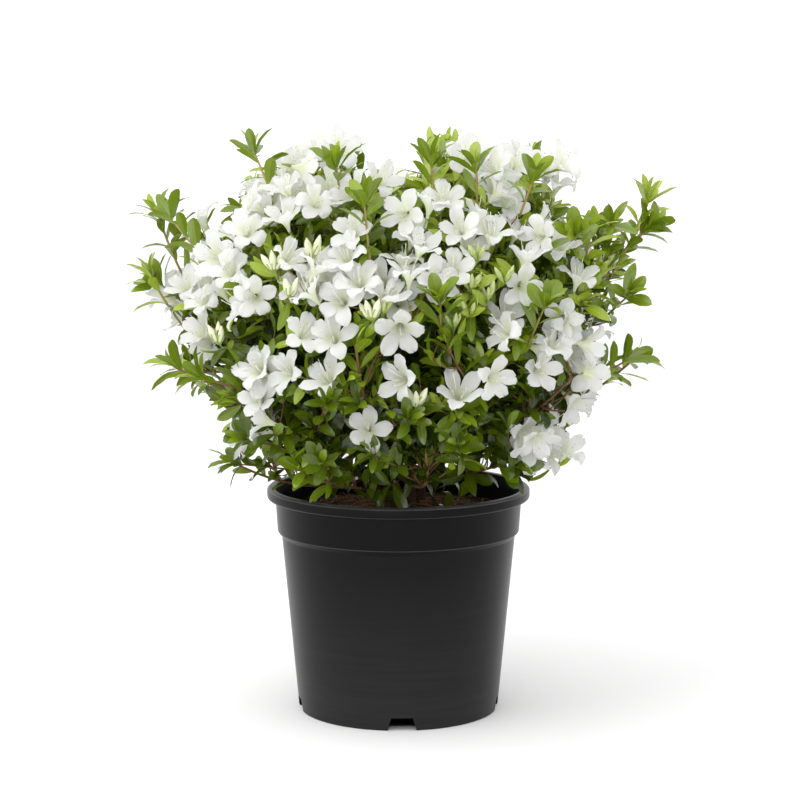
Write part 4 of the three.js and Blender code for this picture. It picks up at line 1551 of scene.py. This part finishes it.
# %% [markdown]
# ## Laying out the leaves
#
# Leaves stand close together round a shoot's tip and spread further apart below it. The inner ones
# are small, upright and young. The tint goes by spray and paints light and shade: sprays on the
# outside of the crown and high up are painted lighter, those inside and low down darker. A leaf
# that would stand in a flower's mouth, or in the line of sight to a flower of the photograph, is
# left out, and shoots that would end bare are cut back.

# %% Room for the flowers
SIGHT_CLEARANCE = 75
NEAR_VIEW = 5
WIDE_VIEW = 26
FLOWER_ROOM, NEAR_FLOWER_ROOM = 19, 14
BEHIND_MOUTH = 11
LEADER_KEEPS = 21
TWIG_KEEPS = 5
seen_flowers = flowers[: len(BLOOMS_SEEN)]
mouths = np.array([flower.mouth for flower in flowers + seen_flowers])
looks = [unit(CAMERA_PLACE - flower.mouth) for flower in seen_flowers]
mouth_axes = np.array([flower.axis for flower in flowers] + looks)
sight_lines = np.arange(len(mouths)) >= len(flowers)


def in_a_flower(place, view=WIDE_VIEW):
    """True in the space that a flower fills, or within `view` in front of its mouth."""
    wide = view > NEAR_VIEW
    limit = np.where(sight_lines, SIGHT_CLEARANCE, view) if wide else view
    away = place - mouths
    ahead = (away * mouth_axes).sum(1)
    beside = np.linalg.norm(away - ahead[:, None] * mouth_axes, axis=1)
    width = (FLOWER_ROOM if wide else NEAR_FLOWER_ROOM) + np.minimum(ahead, 0)
    return bool(np.any((ahead > -BEHIND_MOUTH) & (ahead < limit) & (beside < width)))


def keeps_clear(shoot):
    """True for a shoot that carries another one, or that doesn't end in front of a flower."""
    return shoot.held > 0 or not in_a_flower(shoot.tip)


def cut_back(shoot, least):
    """Shortens a shoot that ends bare, in a flower or in the open sky, to what it carries."""
    last = len(shoot.line) - 1
    while last > max(least, shoot.held):
        if not in_a_flower(shoot.line[last]) and not in_the_sky(shoot.line[last]):
            break
        last -= 1
    shoot.line = shoot.line[: last + 1]


for leader in leaders:
    cut_back(leader, LEADER_KEEPS)
for twig in twigs:
    cut_back(twig, TWIG_KEEPS)
finer = [shoot for shoot in finer if keeps_clear(shoot)]
inner_shoots = [shoot for shoot in inner_shoots if keeps_clear(shoot)]
print(len(finer), "finer shoots and", len(inner_shoots), "shaded sprays keep clear of the flowers")

# %% Leaf layout
leafing = random.Random(41)
TINTS = list(LEAF_GREENS)
leaf_heaps = {name: Heap() for name in TINTS}
BROAD_BELOW = 290
BROAD_SHARE = 0.6
WHORL_STEP = 1.1
LEAFY_PART = 0.92


def lay_leaf(root, direction, facing, length, tint, view):
    middle, tip = root + direction * length * 0.55, root + direction * length
    if in_a_flower(middle, view) or in_a_flower(tip, view):
        return
    if in_the_sky(tip) and view > NEAR_VIEW:
        return
    if not (above_fringe(tip, -10) and clear_of_pot(tip) and clear_of_pot(middle)):
        return
    normal = unit(facing - direction * (facing @ direction))
    frame = np.array((np.cross(direction, normal), direction, normal))
    heap = leaf_heaps[TINTS[min(max(round(tint), 0), len(TINTS) - 1)]]
    broad = (root[2] < BROAD_BELOW or view < NEAR_VIEW) and leafing.random() < BROAD_SHARE
    heap.add(leafing.choice(broad_leaf_shapes if broad else leaf_shapes), root, frame, length)


def leafy(shoot, whorl, along, tint, size=1.0, opening=(20, 56), view=WIDE_VIEW, spacing=6.5):
    """A whorl of leaves at a shoot's tip and some spread leaves below it."""
    turn = leafing.uniform(0, 360)
    for k in range(whorl + along):
        turn += GOLDEN_ANGLE + leafing.uniform(-14, 14)
        back = WHORL_STEP * min(k, whorl) + spacing * max(0, k - whorl + 1)
        if back > shoot.length * LEAFY_PART:
            break
        root, axis = along_runs(shoot.line, 1 - back / shoot.length)
        if k < whorl:
            share = k / max(1, whorl - 1)
            splay = opening[0] + (opening[1] - opening[0]) * share
            length = LEAF_LENGTH * size * (0.76 + 0.27 * share)
        else:
            splay = leafing.uniform(44, 66)
            length = LEAF_LENGTH * size * leafing.uniform(0.8, 1.02)
        direction = splayed(axis, splay + leafing.uniform(-9, 9), turn)
        direction = unit(direction + (0, 0, 0.12))
        lean = np.array([leafing.gauss(0, 0.42) for _ in range(3)])
        facing = axis + np.array((0, 0, 0.45)) + lean
        young = 0.8 if k < 2 and whorl > 4 else 0
        lay_leaf(root, direction, facing, length * leafing.uniform(0.9, 1.1), tint + young, view)


def tint_of(place):
    """Painted light and shade: from 0, dark, deep inside and low down, to 3, light, at the top of
    the outline.
    """
    height = (place[2] - 230) / 300
    return -2.1 + 2.9 * share_out(place) + 2.4 * height + leafing.gauss(0, 0.8)


# %% Leaves on every shoot
# Each spray's tint paints light and shade by where it stands: darker inside and low down, lighter
# outside and high up.
for leader in leaders:
    low = leader.tip[2] < BROAD_BELOW
    leafy(leader, 8, 26 if low else 13, tint_of(leader.tip) - 0.4, 0.9 if low else 1.12)
for twig in twigs:
    leafy(twig, 6, 5, tint_of(twig.tip))
for shoot in finer:
    leafy(shoot, 5, 2, tint_of(shoot.tip))
for shoot in seen_shoots:
    # High shoots are painted lighter and low ones darker: painted light and shade.
    tint, size = (2.4, 1.06) if shoot.tip[2] > LOW_BELOW else (1.4, 0.85)
    leafy(shoot, 8, 12, tint, size, view=3, spacing=8)
for shoot in spurs:
    leafy(shoot, 6, 4, leafing.uniform(0.4, 2.2), opening=(40, 80))
for shoot in sprouts:
    leafy(shoot, 5, 4, leafing.uniform(0, 1.5), 0.85)
for shoot in inner_shoots:
    # Inner sprays are painted lighter as they rise: painted light.
    lit = 2.7 * max(0, (shoot.tip[2] - 350) / 150)
    leafy(shoot, 6, 3, leafing.uniform(-0.6, 0.8) + lit, opening=(40, 85))
for shoot in flower_shoots:
    leafy(shoot, 5, 3, tint_of(shoot.tip), opening=(62, 96))
for shoot in bud_shoots:
    leafy(shoot, 7, 3, tint_of(shoot.tip), opening=(55, 85))
foliage_nodes = ["foliage_" + mass.name for mass in masses]
for name, heap in leaf_heaps.items():
    leaves = heap.piece(name, leaf_paints(name, *LEAF_GREENS[name]), "foliage")
    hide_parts(*foliage_nodes)
print(sum(len(heap.points) for heap in leaf_heaps.values()), "leaves laid")

# %% [markdown]
# ## Twigs, flowers and buds as meshes
#
# Now the plan becomes shapes. Side twigs and all low shoots are brown. High up, the leading shoots
# turn from brown to green, and the finer ones are green. A flower sits on a green stalk with its
# stamens curving up past the mouth, and buds stand in groups of three.

# %% Twig meshes
GREEN_ABOVE = 395
shoot_heap = Heap()
woody = leaders + twigs + finer + spurs + sprouts + inner_shoots
for shoot in woody + links + seen_shoots + flower_shoots + bud_shoots:
    radii = np.linspace(*shoot.radii, len(shoot.line))
    green = shoot.tip[2] > GREEN_ABOVE
    if shoot.order == 0:
        half = len(shoot.line) * 5 // 8
        shoot_heap.add(tube(shoot.line[: half + 1], radii[: half + 1], 7))
        shoot_heap.add(tube(shoot.line[half:], radii[half:], 7, finish=int(green)))
    else:
        shoot_heap.add(tube(shoot.line, radii, 5, finish=int(green and shoot.order > 1)))
twig_piece = shoot_heap.piece("shoots_and_twigs", [brown_shoot, green_shoot], "bark")
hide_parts(*foliage_nodes)

# %% Flower and bud meshes
STALK_RADII = np.array((0.6, 0.6, 0.7, 1.0, 1.5))
BUD_STALK_RADII = np.full(5, 0.6)


def frame_along(axis):
    """Directions for a shape that looks along its own z, rolled so that its y is about up."""
    up = np.array((flowering.gauss(0, 0.3), flowering.gauss(0, 0.3), 1.0))
    over = unit(up - axis * (up @ axis))
    return np.array((np.cross(over, axis), over, axis))


flower_heap, stamen_heap, stalk_heap, bud_heap = Heap(), Heap(), Heap(), Heap()
for flower, shoot in zip(flowers, flower_shoots):
    turned_frame = frame_along(flower.axis)
    flower_heap.add(flowering.choice(flower_shapes), flower.foot, turned_frame, flower.size)
    stamen_heap.add(flowering.choice(stamens), flower.foot, turned_frame, flower.size)
    line = curve_through([shoot.tip, shoot.tip + shoot.axis * 3, flower.foot + flower.axis], 4)
    stalk_heap.add(tube(line, STALK_RADII, 6))
for (place, axis, young), shoot in zip(bud_groups, bud_shoots):
    axis = unit(0.45 * axis + (0, 0, 1))
    sizes = (0.6, 0.85) if young else (0.85, 1.1)
    for k in range(3):
        lean = splayed(axis, 10 + 16 * k, 120 * k + flowering.uniform(-30, 30))
        foot = place + lean * 3
        bud = flowering.choice(young_bud_shapes if young else bud_shapes)
        size = flowering.uniform(*sizes)
        bud_heap.add(bud, foot, frame_along(lean), size)
        stalk_heap.add(tube(curve_through([shoot.tip, place, foot + lean], 4), BUD_STALK_RADII, 5))
flower_heap.piece("flowers", [petal, throat, creamy], "foliage")
stamen_heap.piece("stamens", [filament, anther], "foliage")
stalk_heap.piece("flower_stalks", [stalk], "foliage")
bud_heap.piece("buds", [bud_green, bud_cream, bud_olive], "foliage")

# %% [markdown]
# ## Finish
#
# The view layer is brought up to date once more. The dressed plant has to stay the size of the
# solid model.

# %% Finish
bpy.context.view_layer.update()
